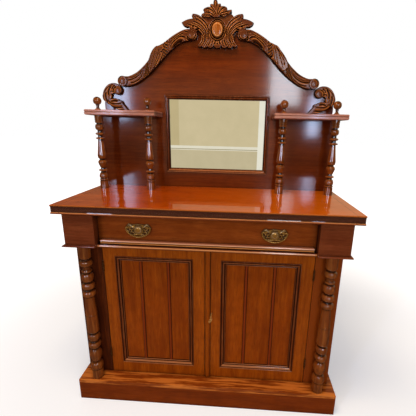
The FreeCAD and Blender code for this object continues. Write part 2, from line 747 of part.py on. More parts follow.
def finial(x):
    """Ball finial on an ogee pedestal, standing on a gallery shelf over a colonnette."""
    height = FINIAL_PEDESTAL + 2 * FINIAL_BALL
    pedestal = FINIAL_PEDESTAL / height
    outline = [(share * pedestal, reach) for share, reach in FINIAL_PEDESTAL_TURNING]
    middle = pedestal + FINIAL_BALL / height
    for angle_deg in (25, 50, 78, 105, 132, 158, 174):
        angle = math.radians(angle_deg)
        outline.append((middle - FINIAL_BALL / height * math.cos(angle), math.sin(angle)))
    return turned(outline, FINIAL_BALL, x, COLONNETTE_DEPTH, GALLERY_TOP, GALLERY_TOP + height,
                  FINIAL_SIDES)


def crest():
    """Cartouche with side leaves and a scalloped lower edge, under a proud palmette."""
    shield = [scaled(points, 0, CREST_WIDTH / 2, CREST_FOOT, CREST_HEIGHT)
              for points in CREST_PIECES]
    shoulder = shield[-1][-1]
    shield.append([shoulder, (0, shoulder[1])])
    body = plate(both_sides(shield), BACKBOARD_THICK, CARVING_THICK)
    leaves = [scaled(points, PALMETTE_SIDEWAYS, PALMETTE_WIDTH / 2,
                     CREST_FOOT + CREST_LAP, PALMETTE_HEIGHT) for points in PALMETTE_PIECES]
    body = body.fuse(plate(both_sides(leaves, PALMETTE_SIDEWAYS), BACKBOARD_THICK,
                           CARVING_THICK + PALMETTE_PROUD))
    middle = CREST_FOOT + RING_RISE
    ring = oval_face(0, middle, BACKBOARD_THICK, RING_WIDTH / 2, RING_HEIGHT / 2, OVAL_SIDES)
    inside = oval_face(0, middle, BACKBOARD_THICK + CARVING_THICK, RING_WIDTH / 2 - RING_WALL,
                       RING_HEIGHT / 2 - RING_WALL, OVAL_SIDES)
    body = body.fuse(ring.extrude(Vector(0, -CARVING_THICK - RING_PROUD, 0)))
    body = body.cut(inside.extrude(Vector(0, -PALMETTE_PROUD - RING_PROUD, 0)))
    stone = dome(0, middle, BACKBOARD_THICK + CARVING_THICK, CABOCHON_WIDTH / 2,
                 CABOCHON_HEIGHT / 2, CABOCHON_DOME)
    return {"crest_cartouche": body.removeSplitter(), "crest_cabochon": stone}


def pediment_scroll(cartouche):
    """S-shaped carved rail: a band with a leaf swelling, closed by two volutes.

    Its upper volute is scribed to the cartouche.
    """
    top = swept(SCROLL_TOP)
    under = swept(SCROLL_UNDER)
    band = plate([top, [top[-1], under[0]], under, [under[-1], top[0]]],
                 BACKBOARD_THICK, CARVING_THICK)
    for x, z in swept(SCROLL_VOLUTES):
        band = band.fuse(disc(x, z, BACKBOARD_THICK, VOLUTE_RADIUS,
                              CARVING_THICK + VOLUTE_PROUD))
    return band.cut(cartouche)


def corner_scroll():
    """Leafy C-scroll standing on a gallery shelf against the gallery back."""
    outer = BACK_HALF - CORNER_INSET
    drawn = [scaled(points, outer, -CORNER_SIZE, GALLERY_TOP, CORNER_SIZE)
             for points in CORNER_PIECES]
    eye_x, eye_z = scaled([CORNER_EYE], outer, -CORNER_SIZE, GALLERY_TOP, CORNER_SIZE)[0]
    eye = disc(eye_x, eye_z, BACKBOARD_THICK, VOLUTE_RADIUS * 0.88, CARVING_THICK + VOLUTE_PROUD)
    return plate(drawn, BACKBOARD_THICK, CARVING_THICK).fuse(eye)


# ------------------------------------------------------------------------ drawer
def drawer_box():
    """Drawer front with its lower moulding, sides, back and bottom."""
    half = BLOCK_INNER - DRAWER_GAP
    low = RAIL_TOP + DRAWER_GAP
    high = TOP_UNDERSIDE - DRAWER_GAP
    inner_face = DRAWER_FACE - DRAWER_FRONT_THICK
    outer = half - DRAWER_SIDE_INSET
    inner = outer - DRAWER_SIDE_THICK
    seat = RAIL_TOP + SEAT
    top = seat + DRAWER_SIDE_HEIGHT
    floor = seat + DRAWER_BOTTOM_UP
    tongue = DRAWER_BOTTOM_TONGUE
    bottom = block(-inner - tongue, inner + tongue, DRAWER_BACK, inner_face + tongue,
                   floor, floor + DRAWER_BOTTOM_THICK)
    front = block(-half, half, inner_face, DRAWER_FACE, low, high).cut(bottom)
    side = block(inner, outer, DRAWER_BACK, inner_face, seat, top).cut(bottom)
    rear = block(-inner, inner, DRAWER_BACK, DRAWER_BACK + DRAWER_SIDE_THICK,
                 floor + DRAWER_BOTTOM_THICK, top - DRAWER_BOTTOM_THICK)
    out = DRAWER_MOULD_OUT
    tall = DRAWER_MOULD_HEIGHT
    profile = [(out * 0.9, 0), (out * 0.45, 0.08 * tall), (out * 0.12, 0.24 * tall),
               (0, 0.42 * tall), (out * 0.2, 0.6 * tall), (out * 0.36, 0.66 * tall),
               (out * 0.10, 0.8 * tall), (out * 0.2, tall)]
    reach = half - DRAWER_MOULD_INSET
    moulding = moulded_slab(-reach, reach, DRAWER_FACE, DRAWER_FACE + out, low + tall, profile)
    return {
        "drawer_front": front,
        "drawer_front_moulding": moulding,
        "drawer_sides_back": Part.makeCompound([side, mirrored(side), rear]),
        "drawer_bottom": bottom,
    }


# The handle plate in shares of its half width and of its height, and its piercings
# as (across, up, half width, half height, turn in degrees), in millimetres.
PLATE_OUTLINE = [(0.00, 0.50), (0.13, 0.46), (0.24, 0.34), (0.44, 0.30), (0.64, 0.38),
                 (0.84, 0.48), (0.98, 0.32), (0.98, 0.06), (0.86, -0.20), (0.64, -0.38),
                 (0.34, -0.48), (0.17, -0.50), (0.00, -0.50)]
PLATE_HOLES = ((31, 0, 7.5, 6.5, 20), (25, -14, 8, 4.2, -35))


def handle_plate(x):
    """Pierced cast backplate with an oval boss and two posts for the bail."""
    half = scaled(PLATE_OUTLINE, x, PLATE_WIDTH / 2, HANDLE_HEIGHT, PLATE_HEIGHT)
    body = plate(both_sides([half], x), DRAWER_FACE, PLATE_THICK)
    post_z = HANDLE_HEIGHT + POST_RISE
    for side in (1, -1):
        for across, up, half_width, half_height, turn in PLATE_HOLES:
            hole = oval_face(x + side * across, HANDLE_HEIGHT + up, DRAWER_FACE,
                             half_width, half_height, FITTING_SIDES, turn * side)
            body = body.cut(hole.extrude(Vector(0, -PLATE_THICK, 0)))
        foot = Vector(x + side * POST_OFFSET, at_depth(DRAWER_FACE), post_z)
        body = body.fuse(faceted_rod(POST_RADIUS, foot, Vector(0, -1, 0), POST_LENGTH))
    body = body.fuse(dome(x, HANDLE_HEIGHT, DRAWER_FACE + PLATE_THICK, BOSS_WIDTH / 2,
                          BOSS_HEIGHT / 2, BOSS_DOME))
    axis_y = at_depth(DRAWER_FACE + BAIL_STANDOFF)
    inside = POST_OFFSET - POST_RADIUS
    for side in (1, -1):
        start = Vector(x + side * inside, axis_y, post_z)
        body = body.cut(rod(BAIL_PIN_RADIUS + RUNNING, start, Vector(side, 0, 0),
                            2 * POST_RADIUS))
    return body


def bail(x):
    """Swinging bail: a round bar bent to a half oval, its ends turned in to the posts."""
    axis_y = at_depth(DRAWER_FACE + BAIL_STANDOFF)
    top = HANDLE_HEIGHT + POST_RISE
    half = BAIL_HALF_WIDTH
    corner = BAIL_CORNER
    shoulder = top - corner
    drop = shoulder - (HANDLE_HEIGHT - BAIL_DROP)
    stations = []
    for turn_deg in (90, 45):
        turn = math.radians(turn_deg)
        stations.append((half - corner + corner * math.cos(turn),
                         shoulder + corner * math.sin(turn), math.sin(turn), -math.cos(turn)))
    for step in range(13):
        turn = math.pi * step / 12
        along = Vector(-half * math.sin(turn), 0, -drop * math.cos(turn)).normalize()
        stations.append((half * math.cos(turn), shoulder - drop * math.sin(turn),
                         along.x, along.z))
    for across, up, along_x, along_z in reversed(stations[:2]):
        stations.append((-across, up, along_x, -along_z))
    rings = []
    for across, up, along_x, along_z in stations:
        ring = []
        for side in range(BAIL_SIDES):
            turn = 2 * math.pi * side / BAIL_SIDES
            outward = BAIL_RADIUS * math.cos(turn)
            ring.append(Vector(x + across - outward * along_z,
                               axis_y + BAIL_RADIUS * math.sin(turn), up + outward * along_x))
        rings.append(ring)
    bar = ring_solid(rings, bent=True)
    reach = half - corner - (POST_OFFSET - POST_RADIUS)
    for side in (1, -1):
        start = Vector(x + side * (half - corner), axis_y, top)
        bar = bar.fuse(rod(BAIL_PIN_RADIUS, start, Vector(-side, 0, 0), reach))
    return bar


# ------------------------------------------------------------------------- doors
# Cross sections as (share of the width, share of the height) pairs.
REED_PROFILE = [(-0.5, 0), (-0.5, 0.3), (-0.3, 0.85), (0, 1), (0.3, 0.85), (0.5, 0.3), (0.5, 0)]
BEAD_PROFILE = [(0, 0), (0, 0.35), (0.18, 0.5), (0.3, 0.88), (0.5, 1), (0.7, 0.88), (0.82, 0.5),
                (1, 0.35), (1, 0)]
# The panel moulding starts on the panel, stands a little proud of the frame at its
# outer edge and falls in steps towards the panel.
PANEL_MOULDING_PROFILE = [
    (0, -1), (0, 0.15), (0.12, 0.2), (0.25, 0.05), (0.33, -0.2), (0.55, -0.38),
    (0.72, -0.6), (0.80, -0.62), (0.92, -0.7), (1, -0.84), (1, -1),
]


def door_wood(meeting_edge):
    """Frame, reeded panel and panel moulding of one door, drawn on the right.

    meeting_edge is how far right of the middle the door's free edge is. The panel
    opening is the same on both doors.
    """
    hung = DOOR_HALF - DOOR_GAP
    open_left = PANEL_INSIDE
    open_right = hung - OUTER_STILE
    open_low = DOOR_BOTTOM + BOTTOM_RAIL
    open_high = DOOR_TOP - TOP_RAIL
    panel_face = CASE_DEPTH - PANEL_SETBACK
    panel_back = panel_face - PANEL_THICK
    tongue = PANEL_TONGUE
    panel = block(open_left - tongue, open_right + tongue, panel_back, panel_face,
                  open_low - tongue, open_high + tongue)
    frame = []
    for left, right in ((meeting_edge, open_left), (open_right, hung)):
        frame.append(block(left, right, DOOR_BACK, CASE_DEPTH, DOOR_BOTTOM, DOOR_TOP).cut(panel))
    for low, high in ((DOOR_BOTTOM, open_low), (open_high, DOOR_TOP)):
        frame.append(block(open_left, open_right, DOOR_BACK, CASE_DEPTH, low, high).cut(panel))
    field_left = open_left + MOULDING_WIDTH
    field_right = open_right - MOULDING_WIDTH
    for middle in (field_left + REED_INSET + REED_WIDTH / 2,
                   field_right - REED_INSET - REED_WIDTH / 2):
        outline = []
        for share, rise in REED_PROFILE:
            outline.append(Vector(middle + share * REED_WIDTH,
                                  at_depth(panel_face + rise * REED_HEIGHT),
                                  open_low + MOULDING_WIDTH))
        reed = Part.Face(Part.makePolygon(outline + outline[:1]))
        height = open_high - open_low - 2 * MOULDING_WIDTH
        panel = panel.fuse(reed.extrude(Vector(0, 0, height)))
    profile = [(share * MOULDING_WIDTH, proud * PANEL_SETBACK)
               for share, proud in PANEL_MOULDING_PROFILE]
    moulding = mitred_frame(open_left, open_right, open_low, open_high, CASE_DEPTH, profile)
    return Part.makeCompound(frame), panel, Part.makeCompound(moulding)


def meeting_bead():
    """Rounded bead planted along the free edge of the right-hand door."""
    outline = []
    for share, rise in BEAD_PROFILE:
        outline.append(Vector(DOOR_MEETING_RIGHT + share * BEAD_WIDTH,
                              at_depth(CASE_DEPTH + rise * BEAD_PROUD), DOOR_BOTTOM))
    face = Part.Face(Part.makePolygon(outline + outline[:1]))
    return face.extrude(Vector(0, 0, DOOR_TOP - DOOR_BOTTOM))


def hinge_heights():
    """Middle heights of the two butts on each door."""
    return (DOOR_BOTTOM + HINGE_INSET, DOOR_TOP - HINGE_INSET)


def hinge_axis():
    """(x, depth) of the right-hand door's hinge axis."""
    return DOOR_HALF - DOOR_GAP / 2, CASE_DEPTH + HINGE_BARREL + SLIP


def hinge_leaf(middle, on_case):
    """One leaf of a butt: on the case with two knuckles and the pin, or on the door."""
    axis_x, axis_depth = hinge_axis()
    low = middle - HINGE_HEIGHT / 2
    high = middle + HINGE_HEIGHT / 2
    knuckle = HINGE_KNUCKLE / 2
    gap_low = middle - knuckle
    gap_high = middle + knuckle
    if on_case:
        x0, x1 = DOOR_HALF - HINGE_LEAF, DOOR_HALF
        own = [(low, gap_low - SLIP / 2), (gap_high + SLIP / 2, high)]
        other = [(gap_low - SLIP / 2, gap_high + SLIP / 2)]
    else:
        x0, x1 = DOOR_HALF - DOOR_GAP, DOOR_HALF - DOOR_GAP + HINGE_LEAF
        own = [(gap_low, gap_high)]
        other = [(low, gap_low), (gap_high, high)]
    up = Vector(0, 0, 1)

    def barrel(radius, z0, z1, shape=rod):
        return shape(radius, Vector(axis_x, at_depth(axis_depth), z0), up, z1 - z0)

    leaf = block(x0, x1, CASE_DEPTH - HINGE_LEAF_DEPTH, axis_depth, low, high)
    for z0, z1 in other:
        leaf = leaf.cut(barrel(HINGE_BARREL + SLIP, z0, z1))
    for z0, z1 in own:
        leaf = leaf.fuse(barrel(HINGE_BARREL, z0, z1, faceted_rod))
    if on_case:
        return leaf.fuse(barrel(HINGE_PIN, low, high)).removeSplitter()
    return leaf.cut(barrel(HINGE_PIN + RUNNING, low, high))


def hinges():
    """Case leaves of both doors, and each door's own leaves."""
    case = [hinge_leaf(middle, True) for middle in hinge_heights()]
    door = [hinge_leaf(middle, False) for middle in hinge_heights()]
    return {
        "hinge_case_leaves": Part.makeCompound(case + [mirrored(leaf) for leaf in case]),
        "hinge_leaves_right": Part.makeCompound(door),
        "hinge_leaves_left": Part.makeCompound([mirrored(leaf) for leaf in door]),
    }


# --------------------------------------------------------- lock, key and bolts
def key_spot(depth):
    """Point on the key's axis at a depth."""
    return Vector(KEY_OFFSET, at_depth(depth), KEY_HEIGHT)


def keyhole(back_depth, front_depth, clearance):
    """Hole for the key's shank with a slot under it for the bit."""
    length = front_depth - back_depth
    slot_half = KEY_BIT_THICK / 2 + SLIP
    slot = block(KEY_OFFSET - slot_half, KEY_OFFSET + slot_half, back_depth, front_depth,
                 KEY_HEIGHT - KEY_BIT - SLIP, KEY_HEIGHT)
    return rod(KEY_SHANK + clearance, key_spot(back_depth), Vector(0, -1, 0), length).fuse(slot)


def lock_recess():
    """Space cut in the back of the right-hand meeting stile for the lock."""
    left = DOOR_MEETING_RIGHT
    return block(left, left + LOCK_WIDTH, DOOR_BACK, DOOR_BACK + LOCK_THICK,
                 KEY_HEIGHT - LOCK_HEIGHT / 2, KEY_HEIGHT + LOCK_HEIGHT / 2)


def lock_bolt(room=0.0, throw=0.0):
    """Bolt of the lock, with room round it and reaching on towards the other door."""
    left = DOOR_MEETING_RIGHT + SLIP
    right = left + LOCK_WIDTH - 2 * LOCK_WALL - BOLT_THROW
    near = DOOR_BACK + LOCK_WALL + SLIP
    return block(left - throw - room, right, near - room, near + BOLT_THICK + room,
                 KEY_HEIGHT - BOLT_HEIGHT / 2 - room, KEY_HEIGHT + BOLT_HEIGHT / 2 + room)


def lock_case():
    """Brass lock case with the bolt's way out and the keyhole."""
    left = DOOR_MEETING_RIGHT
    wall = LOCK_WALL
    half = LOCK_HEIGHT / 2
    front = DOOR_BACK + LOCK_THICK
    cavity = block(left + wall, left + LOCK_WIDTH - wall, DOOR_BACK + wall, front - wall,
                   KEY_HEIGHT - half + wall, KEY_HEIGHT + half - wall)
    way_out = lock_bolt(SLIP / 2, BOLT_THROW)
    return lock_recess().cut(cavity).cut(way_out).cut(keyhole(front - wall, front, RUNNING))


def key():
    """Key with a ring bow and a bit, part turned as it rests in the lock."""
    bit_back = DOOR_BACK + LOCK_THICK - LOCK_WALL - SLIP - KEY_BIT_WIDTH
    bow_centre = CASE_DEPTH + KEY_REACH + KEY_BOW
    front = bow_centre - KEY_BOW + KEY_BOW_WALL / 2
    forward = Vector(0, -1, 0)
    shank = rod(KEY_SHANK, key_spot(bit_back), forward, front - bit_back)
    collar = faceted_rod(KEY_SHANK * 1.6, key_spot(CASE_DEPTH + KEY_COLLAR_REACH), forward,
                         KEY_COLLAR)
    across = Vector(1, 0, 0)
    start = key_spot(bow_centre) + Vector(-KEY_BOW_THICK / 2, 0, 0)
    ring = faceted_rod(KEY_BOW, start, across, KEY_BOW_THICK, OVAL_SIDES)
    ring = ring.cut(faceted_rod(KEY_BOW - KEY_BOW_WALL, start, across, KEY_BOW_THICK, OVAL_SIDES))
    bit = block(KEY_OFFSET - KEY_BIT_THICK / 2, KEY_OFFSET + KEY_BIT_THICK / 2, bit_back,
                bit_back + KEY_BIT_WIDTH, KEY_HEIGHT - KEY_BIT, KEY_HEIGHT)
    body = shank.fuse(collar).fuse(ring).fuse(bit)
    body.rotate(key_spot(0), Vector(0, 1, 0), KEY_TURN_DEG)
    return body


def shoot_point(height):
    """Point on the axis of the left-hand door's bolts at a height."""
    depth = DOOR_BACK - SHOOT_PLATE_THICK - SLIP - SHOOT_RADIUS
    return Vector(-SHOOT_OFFSET, at_depth(depth), height)


def shoot_socket(low, high):
    """Square mortice that a bolt of the left-hand door shoots into."""
    half = SHOOT_RADIUS + SOCKET_ROOM
    corner = shoot_point(low) - Vector(half, half, 0)
    return Part.makeBox(2 * half, 2 * half, high - low, corner)


def shoot_bolt(end, direction):
    """Sliding bolt: a round bar with a knob, its tip at end and throwing along direction."""
    far = end - direction * SHOOT_LENGTH
    bar = rod(SHOOT_RADIUS, shoot_point(far), Vector(0, 0, direction), SHOOT_LENGTH)
    middle = shoot_point(far + direction * (SHOOT_PLATE_LENGTH - SHOOT_THROW) / 2)
    inward = Vector(0, 1, 0)
    stem = faceted_rod(KNOB_RADIUS * 0.6, middle, inward, SHOOT_RADIUS + KNOB_RADIUS)
    knob = faceted_rod(KNOB_RADIUS, middle + inward * (SHOOT_RADIUS + KNOB_RADIUS), inward,
                       KNOB_RADIUS)
    return bar.fuse(stem).fuse(knob)


def shoot_plate(end, direction):
    """Backplate of a sliding bolt with two bored guides."""
    far = end - direction * SHOOT_LENGTH
    near = far + direction * SHOOT_PLATE_LENGTH
    low, high = min(far, near), max(far, near)
    half = SHOOT_PLATE_WIDTH / 2
    face = DOOR_BACK - SHOOT_PLATE_THICK
    body = block(-SHOOT_OFFSET - half, -SHOOT_OFFSET + half, face, DOOR_BACK, low, high)
    guide_half = SHOOT_RADIUS + SHOOT_GUIDE_WALL
    reach = SLIP + 2 * SHOOT_RADIUS + SHOOT_GUIDE_WALL
    for foot in (low, high - SHOOT_GUIDE):
        body = body.fuse(block(-SHOOT_OFFSET - guide_half, -SHOOT_OFFSET + guide_half,
                               face - reach, face, foot, foot + SHOOT_GUIDE))
    return body.cut(rod(SHOOT_RADIUS + RUNNING, shoot_point(low), Vector(0, 0, 1), high - low))


# ------------------------------------------------------------------------ export
def build():
    """Every node's shape by name."""
    nodes = {}
    nodes.update(plinth())
    nodes["floor_board"] = floor_board()
    nodes.update(case_sides())
    nodes["back_boards"] = back_boards()
    nodes["drawer_rail"] = drawer_rail()
    nodes["drawer_framing"] = drawer_framing()
    nodes.update(cupboard_shelf())
    corner_block = frieze_block()
    nodes["frieze_block_right"] = corner_block
    nodes["frieze_block_left"] = mirrored(corner_block)
    nodes["worktop"] = worktop()
    column = base_column()
    nodes["base_column_right"] = column
    nodes["base_column_left"] = mirrored(column)

    nodes.update(gallery_boards())
    nodes.update(mirror_set())
    shelf = gallery_shelf()
    nodes["gallery_shelf_right"] = shelf
    nodes["gallery_shelf_left"] = mirrored(shelf)
    finials = []
    for name, x in zip(("inner", "outer"), COLONNETTE_OFFSETS):
        post = turned(COLONNETTE_TURNING, COLONNETTE_RADIUS, x, COLONNETTE_DEPTH,
                      TOP_HEIGHT, GALLERY_UNDERSIDE, COLONNETTE_SIDES)
        nodes["colonnette_%s_right" % name] = post
        nodes["colonnette_%s_left" % name] = mirrored(post)
        finials += [finial(x), finial(-x)]
    nodes["shelf_finials"] = Part.makeCompound(finials)
    nodes.update(crest())
    nodes["pediment_scrolls"] = pair(pediment_scroll(nodes["crest_cartouche"]))
    nodes["corner_scrolls"] = pair(corner_scroll())

    nodes.update(drawer_box())
    nodes["handle_plates"] = Part.makeCompound([handle_plate(-HANDLE_OFFSET),
                                                handle_plate(HANDLE_OFFSET)])
    nodes["bail_left"] = bail(-HANDLE_OFFSET)
    nodes["bail_right"] = bail(HANDLE_OFFSET)

    frame, panel, moulding = door_wood(DOOR_MEETING_RIGHT)
    hole = keyhole(DOOR_BACK + LOCK_THICK, CASE_DEPTH, SLIP)
    nodes["door_right_frame"] = frame.cut(lock_recess()).cut(hole)
    nodes["door_right_panel"] = panel
    nodes["door_right_moulding"] = moulding
    frame, panel, moulding = door_wood(-DOOR_MEETING_LEFT)
    nodes["door_left_frame"] = mirrored(frame).cut(lock_bolt(SOCKET_ROOM, BOLT_THROW))
    nodes["door_left_panel"] = mirrored(panel)
    nodes["door_left_moulding"] = mirrored(moulding)
    nodes["meeting_bead"] = meeting_bead()
    nodes.update(hinges())

    nodes["lock_case"] = lock_case()
    nodes["lock_bolt"] = lock_bolt()
    nodes["key"] = key()
    upper = DOOR_TOP - SLIP
    lower = DOOR_BOTTOM + SLIP
    nodes["door_bolt_top"] = shoot_bolt(upper, 1)
    nodes["door_bolt_bottom"] = shoot_bolt(lower, -1)
    nodes["door_bolt_plates"] = Part.makeCompound([shoot_plate(upper, 1), shoot_plate(lower, -1)])
    return nodes


def main():
    """Builds every node and writes one STEP file for each."""
    os.makedirs("parts", exist_ok=True)
    for name, shape in build().items():
        shape.exportStep("parts/%s.step" % name)


main()
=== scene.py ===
"""Looks of a Victorian mahogany chiffonier with a carved and mirrored gallery back.

The CAD model gives every board, frame and moulding. This script gives each of them
its finish, and puts finer surfaces in place of the turned, carved and cast pieces:
columns, colonnettes, finials, the crest, the scroll rails, the corner scrolls and
the brass handles.

Units are metres, with the origin on the floor under the middle of the worktop,
+X to the viewer's right, +Y towards the wall and +Z up. Drawing sizes of carved
pieces are in millimetres and are turned into metres as the mesh is written.
"""
from __future__ import annotations

import logging
import math
from dataclasses import dataclass
from enum import Enum
from typing import Any, Callable, Mapping, Sequence

import bmesh
import bpy
import numpy as np
from mathutils import Matrix, Vector


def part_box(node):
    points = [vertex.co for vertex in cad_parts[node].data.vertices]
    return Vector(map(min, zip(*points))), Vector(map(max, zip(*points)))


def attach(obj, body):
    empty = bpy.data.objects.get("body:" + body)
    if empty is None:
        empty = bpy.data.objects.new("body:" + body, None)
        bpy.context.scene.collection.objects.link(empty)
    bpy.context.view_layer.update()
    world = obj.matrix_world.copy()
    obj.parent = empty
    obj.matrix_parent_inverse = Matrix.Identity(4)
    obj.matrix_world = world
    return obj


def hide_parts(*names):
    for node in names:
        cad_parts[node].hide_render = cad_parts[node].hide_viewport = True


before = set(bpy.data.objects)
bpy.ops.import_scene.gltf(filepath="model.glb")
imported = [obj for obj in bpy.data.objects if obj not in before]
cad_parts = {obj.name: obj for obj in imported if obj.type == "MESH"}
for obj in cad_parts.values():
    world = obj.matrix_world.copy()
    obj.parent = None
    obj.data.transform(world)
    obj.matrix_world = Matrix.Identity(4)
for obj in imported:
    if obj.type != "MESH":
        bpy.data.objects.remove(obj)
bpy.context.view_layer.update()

LOG = logging.getLogger("chiffonier")
MM = 0.001
PORE_COLOUR = "2A0E04"
# Painted shade that ambient occlusion lays into crevices, corners and under overhangs.
CREVICE_SHADE_COLOUR = "1E0A04"
# Painted shade laid into the hollows that the tone attribute finds.
HOLLOW_SHADE_COLOUR = "170703"
# Tone of the hidden flat back: a little painted shade that the walls take on between it and the
# face.
BACK_SHADE_TONE = -0.12
Array = np.ndarray
Points = Sequence[tuple[float, float]]
Cuts = Sequence[tuple[Points, float, float]]  # the curve, width and depth of each cut
Place = Callable[[np.ndarray, np.ndarray, np.ndarray], np.ndarray]


# --------------------------------------------------------------------------- colour
def linear(colour: str) -> tuple[float, float, float, float]:
    """Turns an sRGB hex colour into linear RGBA.

    Args:
        colour: six hex digits, with or without a leading #.

    Returns:
        The linear red, green and blue, with an alpha of 1.
    """
    text = colour.lstrip("#")
    parts = [int(text[start:start + 2], 16) / 255 for start in (0, 2, 4)]
    curve = [p / 12.92 if p <= 0.04045 else ((p + 0.055) / 1.055) ** 2.4 for p in parts]
    return (curve[0], curve[1], curve[2], 1.0)


# ------------------------------------------------------------------- shader network
def add(tree: bpy.types.NodeTree, kind: str, links: Mapping[int | str, Any] | None = None,
        values: Mapping[int | str, Any] | None = None, **settings: Any) -> bpy.types.Node:
    """Adds a shader node with its settings, its fixed inputs and its links.

    Args:
        tree: the node tree that the node goes into.
        kind: Blender's name of the node type.
        links: for each linked input, the output socket that feeds it.
        values: for each other input that is set, its value.
        **settings: properties of the node itself.

    Returns:
        The new node.
    """
    node = tree.nodes.new(kind)
    for name, value in settings.items():
        setattr(node, name, value)
    for socket, value in (values or {}).items():
        node.inputs[socket].default_value = value
    for socket, source in (links or {}).items():
        tree.links.new(source, node.inputs[socket])
    return node


def empty_material(name: str) -> tuple[bpy.types.Material, bpy.types.NodeTree]:
    """Makes a node material with nothing in its tree.

    Args:
        name: the material's name.

    Returns:
        The material and its node tree.
    """
    material = bpy.data.materials.new(name)
    material.use_nodes = True
    material.node_tree.nodes.clear()
    return material, material.node_tree


class Grain(Enum):
    """Which way the wood's grain runs, with the pattern's stretch along X, Y and Z."""

    ACROSS = (0.07, 1.0, 1.0)
    UPRIGHT = (1.0, 1.0, 0.07)


@dataclass(frozen=True)
class PolishedWood:
    """Mahogany or pine under shellac, wax or bare.

    Real mahogany shows ribbon figure 5 to 15 mm wide along the grain, darker growth
    bands a few centimetres wide, and open pores. French polish adds a thin clear
    gloss over it, which a century of rubbing has left slightly uneven.
    """

    ground: str
    shade: str
    glow: str
    grain: Grain
    band_mm: float = 38.0
    ribbon_mm: float = 9.0
    pore_mm: float = 2.6
    roughness: float = 0.34
    sheen: float = 0.15
    polish: float = 0.2
    polish_roughness: float = 0.13
    polish_ior: float = 1.5
    figure: float = 0.4
    ripple_mm: float = 30.0
    ripple_depth_mm: float = 0.25
    # Strength and reach of the painted shade that ambient occlusion lays into crevices and under
    # overhangs.
    crevice_shade: float = 0.8
    crevice_shade_reach_mm: float = 16.0
    # Painted shade in the hollows, and painted highlight, partly wear, on the ridges, both by the
    # tone attribute.
    hollow_shade: float = 0.0
    ridge_highlight_and_wear: float = 0.0
    blotch_mm: float = 75.0
    blotch: float = 0.5
    wear_and_light: str = ""
    drift: float = 0.0
    seed: float = 0.0

    def build(self, name: str) -> bpy.types.Material:
        """Makes the material.

        Each layer lays a colour over those before it by the value of a pattern: none
        where the pattern has the first value given, its full share at the second.

        Args:
            name: the material's name.

        Returns:
            The material.
        """
        material, tree = empty_material(name)
        place = add(tree, "ShaderNodeTexCoord").outputs["Object"]
        along = add(tree, "ShaderNodeMapping", {0: place},
                    {1: (self.seed, self.seed * 1.7, self.seed * 2.3),
                     3: self.grain.value}).outputs[0]
        band, ribbon, pores, ripple, cloud, rub = (
            add(tree, "ShaderNodeTexNoise", {0: source},
                {2: 1 / (size * MM), 3: detail, 4: rough, 8: twist}).outputs[0]
            for source, size, detail, rough, twist in (
                (along, self.band_mm, 4.0, 0.55, 0.9), (along, self.ribbon_mm, 3.0, 0.6, 0.4),
                (along, self.pore_mm, 2.0, 0.5, 0.0), (place, self.ripple_mm, 3.0, 0.5, 0.0),
                (place, self.blotch_mm, 4.0, 0.6, 0.0),
                (along, self.blotch_mm * 0.22, 5.0, 0.65, 0.0)))
        crevice = add(tree, "ShaderNodeAmbientOcclusion", {},
                      {1: self.crevice_shade_reach_mm * MM}, samples=4, only_local=False).outputs[1]
        layers = [(band, 0.36, 0.66, 0.75, self.shade),
                  (ribbon, 0.45, 0.75, self.figure, self.glow),
                  (pores, 0.52, 0.72, 0.4, PORE_COLOUR),
                  (cloud, 0.46, 0.70, self.blotch, self.shade)]
        # Lighter towards the right: painted light on the gables and front stiles, and a paler right
        # end on the worktop.
        if self.drift:
            across = add(tree, "ShaderNodeSeparateXYZ", {0: place}).outputs[0]
            layers.append((across, -0.25, 0.40, self.drift, self.glow))
        if self.wear_and_light:
            layers.append((rub, 0.47, 0.56, 0.9, self.wear_and_light))
        # Painted shade wherever ambient occlusion finds a crevice, a corner or an overhang.
        layers.append((crevice, 0.85, 0.30, self.crevice_shade, CREVICE_SHADE_COLOUR))
        # Painted shade in the hollows and painted highlight on the ridges, both read from the tone
        # attribute.
        if self.hollow_shade:
            tone = add(tree, "ShaderNodeAttribute", attribute_name="tone").outputs["Fac"]
            layers += [(tone, -0.05, -0.50, self.hollow_shade, HOLLOW_SHADE_COLOUR),
                       (tone, 0.10, 0.60, self.ridge_highlight_and_wear, self.glow)]
        colour = None
        for source, none, full, most, paint in layers:
            share = add(tree, "ShaderNodeMapRange", {0: source},
                        {1: none, 2: full, 3: 0.0, 4: most})
            below = {} if colour is None else {6: colour}
            colour = add(tree, "ShaderNodeMix", {0: share.outputs[0], **below},
                         {6: linear(self.ground), 7: linear(paint)}, data_type="RGBA").outputs[2]
        gloss = add(tree, "ShaderNodeMapRange", {0: ripple},
                    {1: 0.3, 2: 0.7, 3: self.roughness - 0.06, 4: self.roughness + 0.08})
        low = add(tree, "ShaderNodeBump", {2: ripple},
                  {0: 0.6, 1: self.ripple_depth_mm * MM})
        fine = add(tree, "ShaderNodeBump", {2: pores, 3: low.outputs[0]},
                   {0: 0.35, 1: 0.10 * MM})
        shader = add(tree, "ShaderNodeBsdfPrincipled",
                     {"Base Color": colour, "Roughness": gloss.outputs[0],
                      "Normal": fine.outputs[0], "Coat Normal": low.outputs[0]},
                     {"IOR": 1.45, "Specular IOR Level": self.sheen,
                      "Specular Tint": linear("E8A468"), "Coat Weight": self.polish,
                      "Coat Roughness": self.polish_roughness, "Coat IOR": self.polish_ior})
        add(tree, "ShaderNodeOutputMaterial", {0: shader.outputs[0]})
        return material


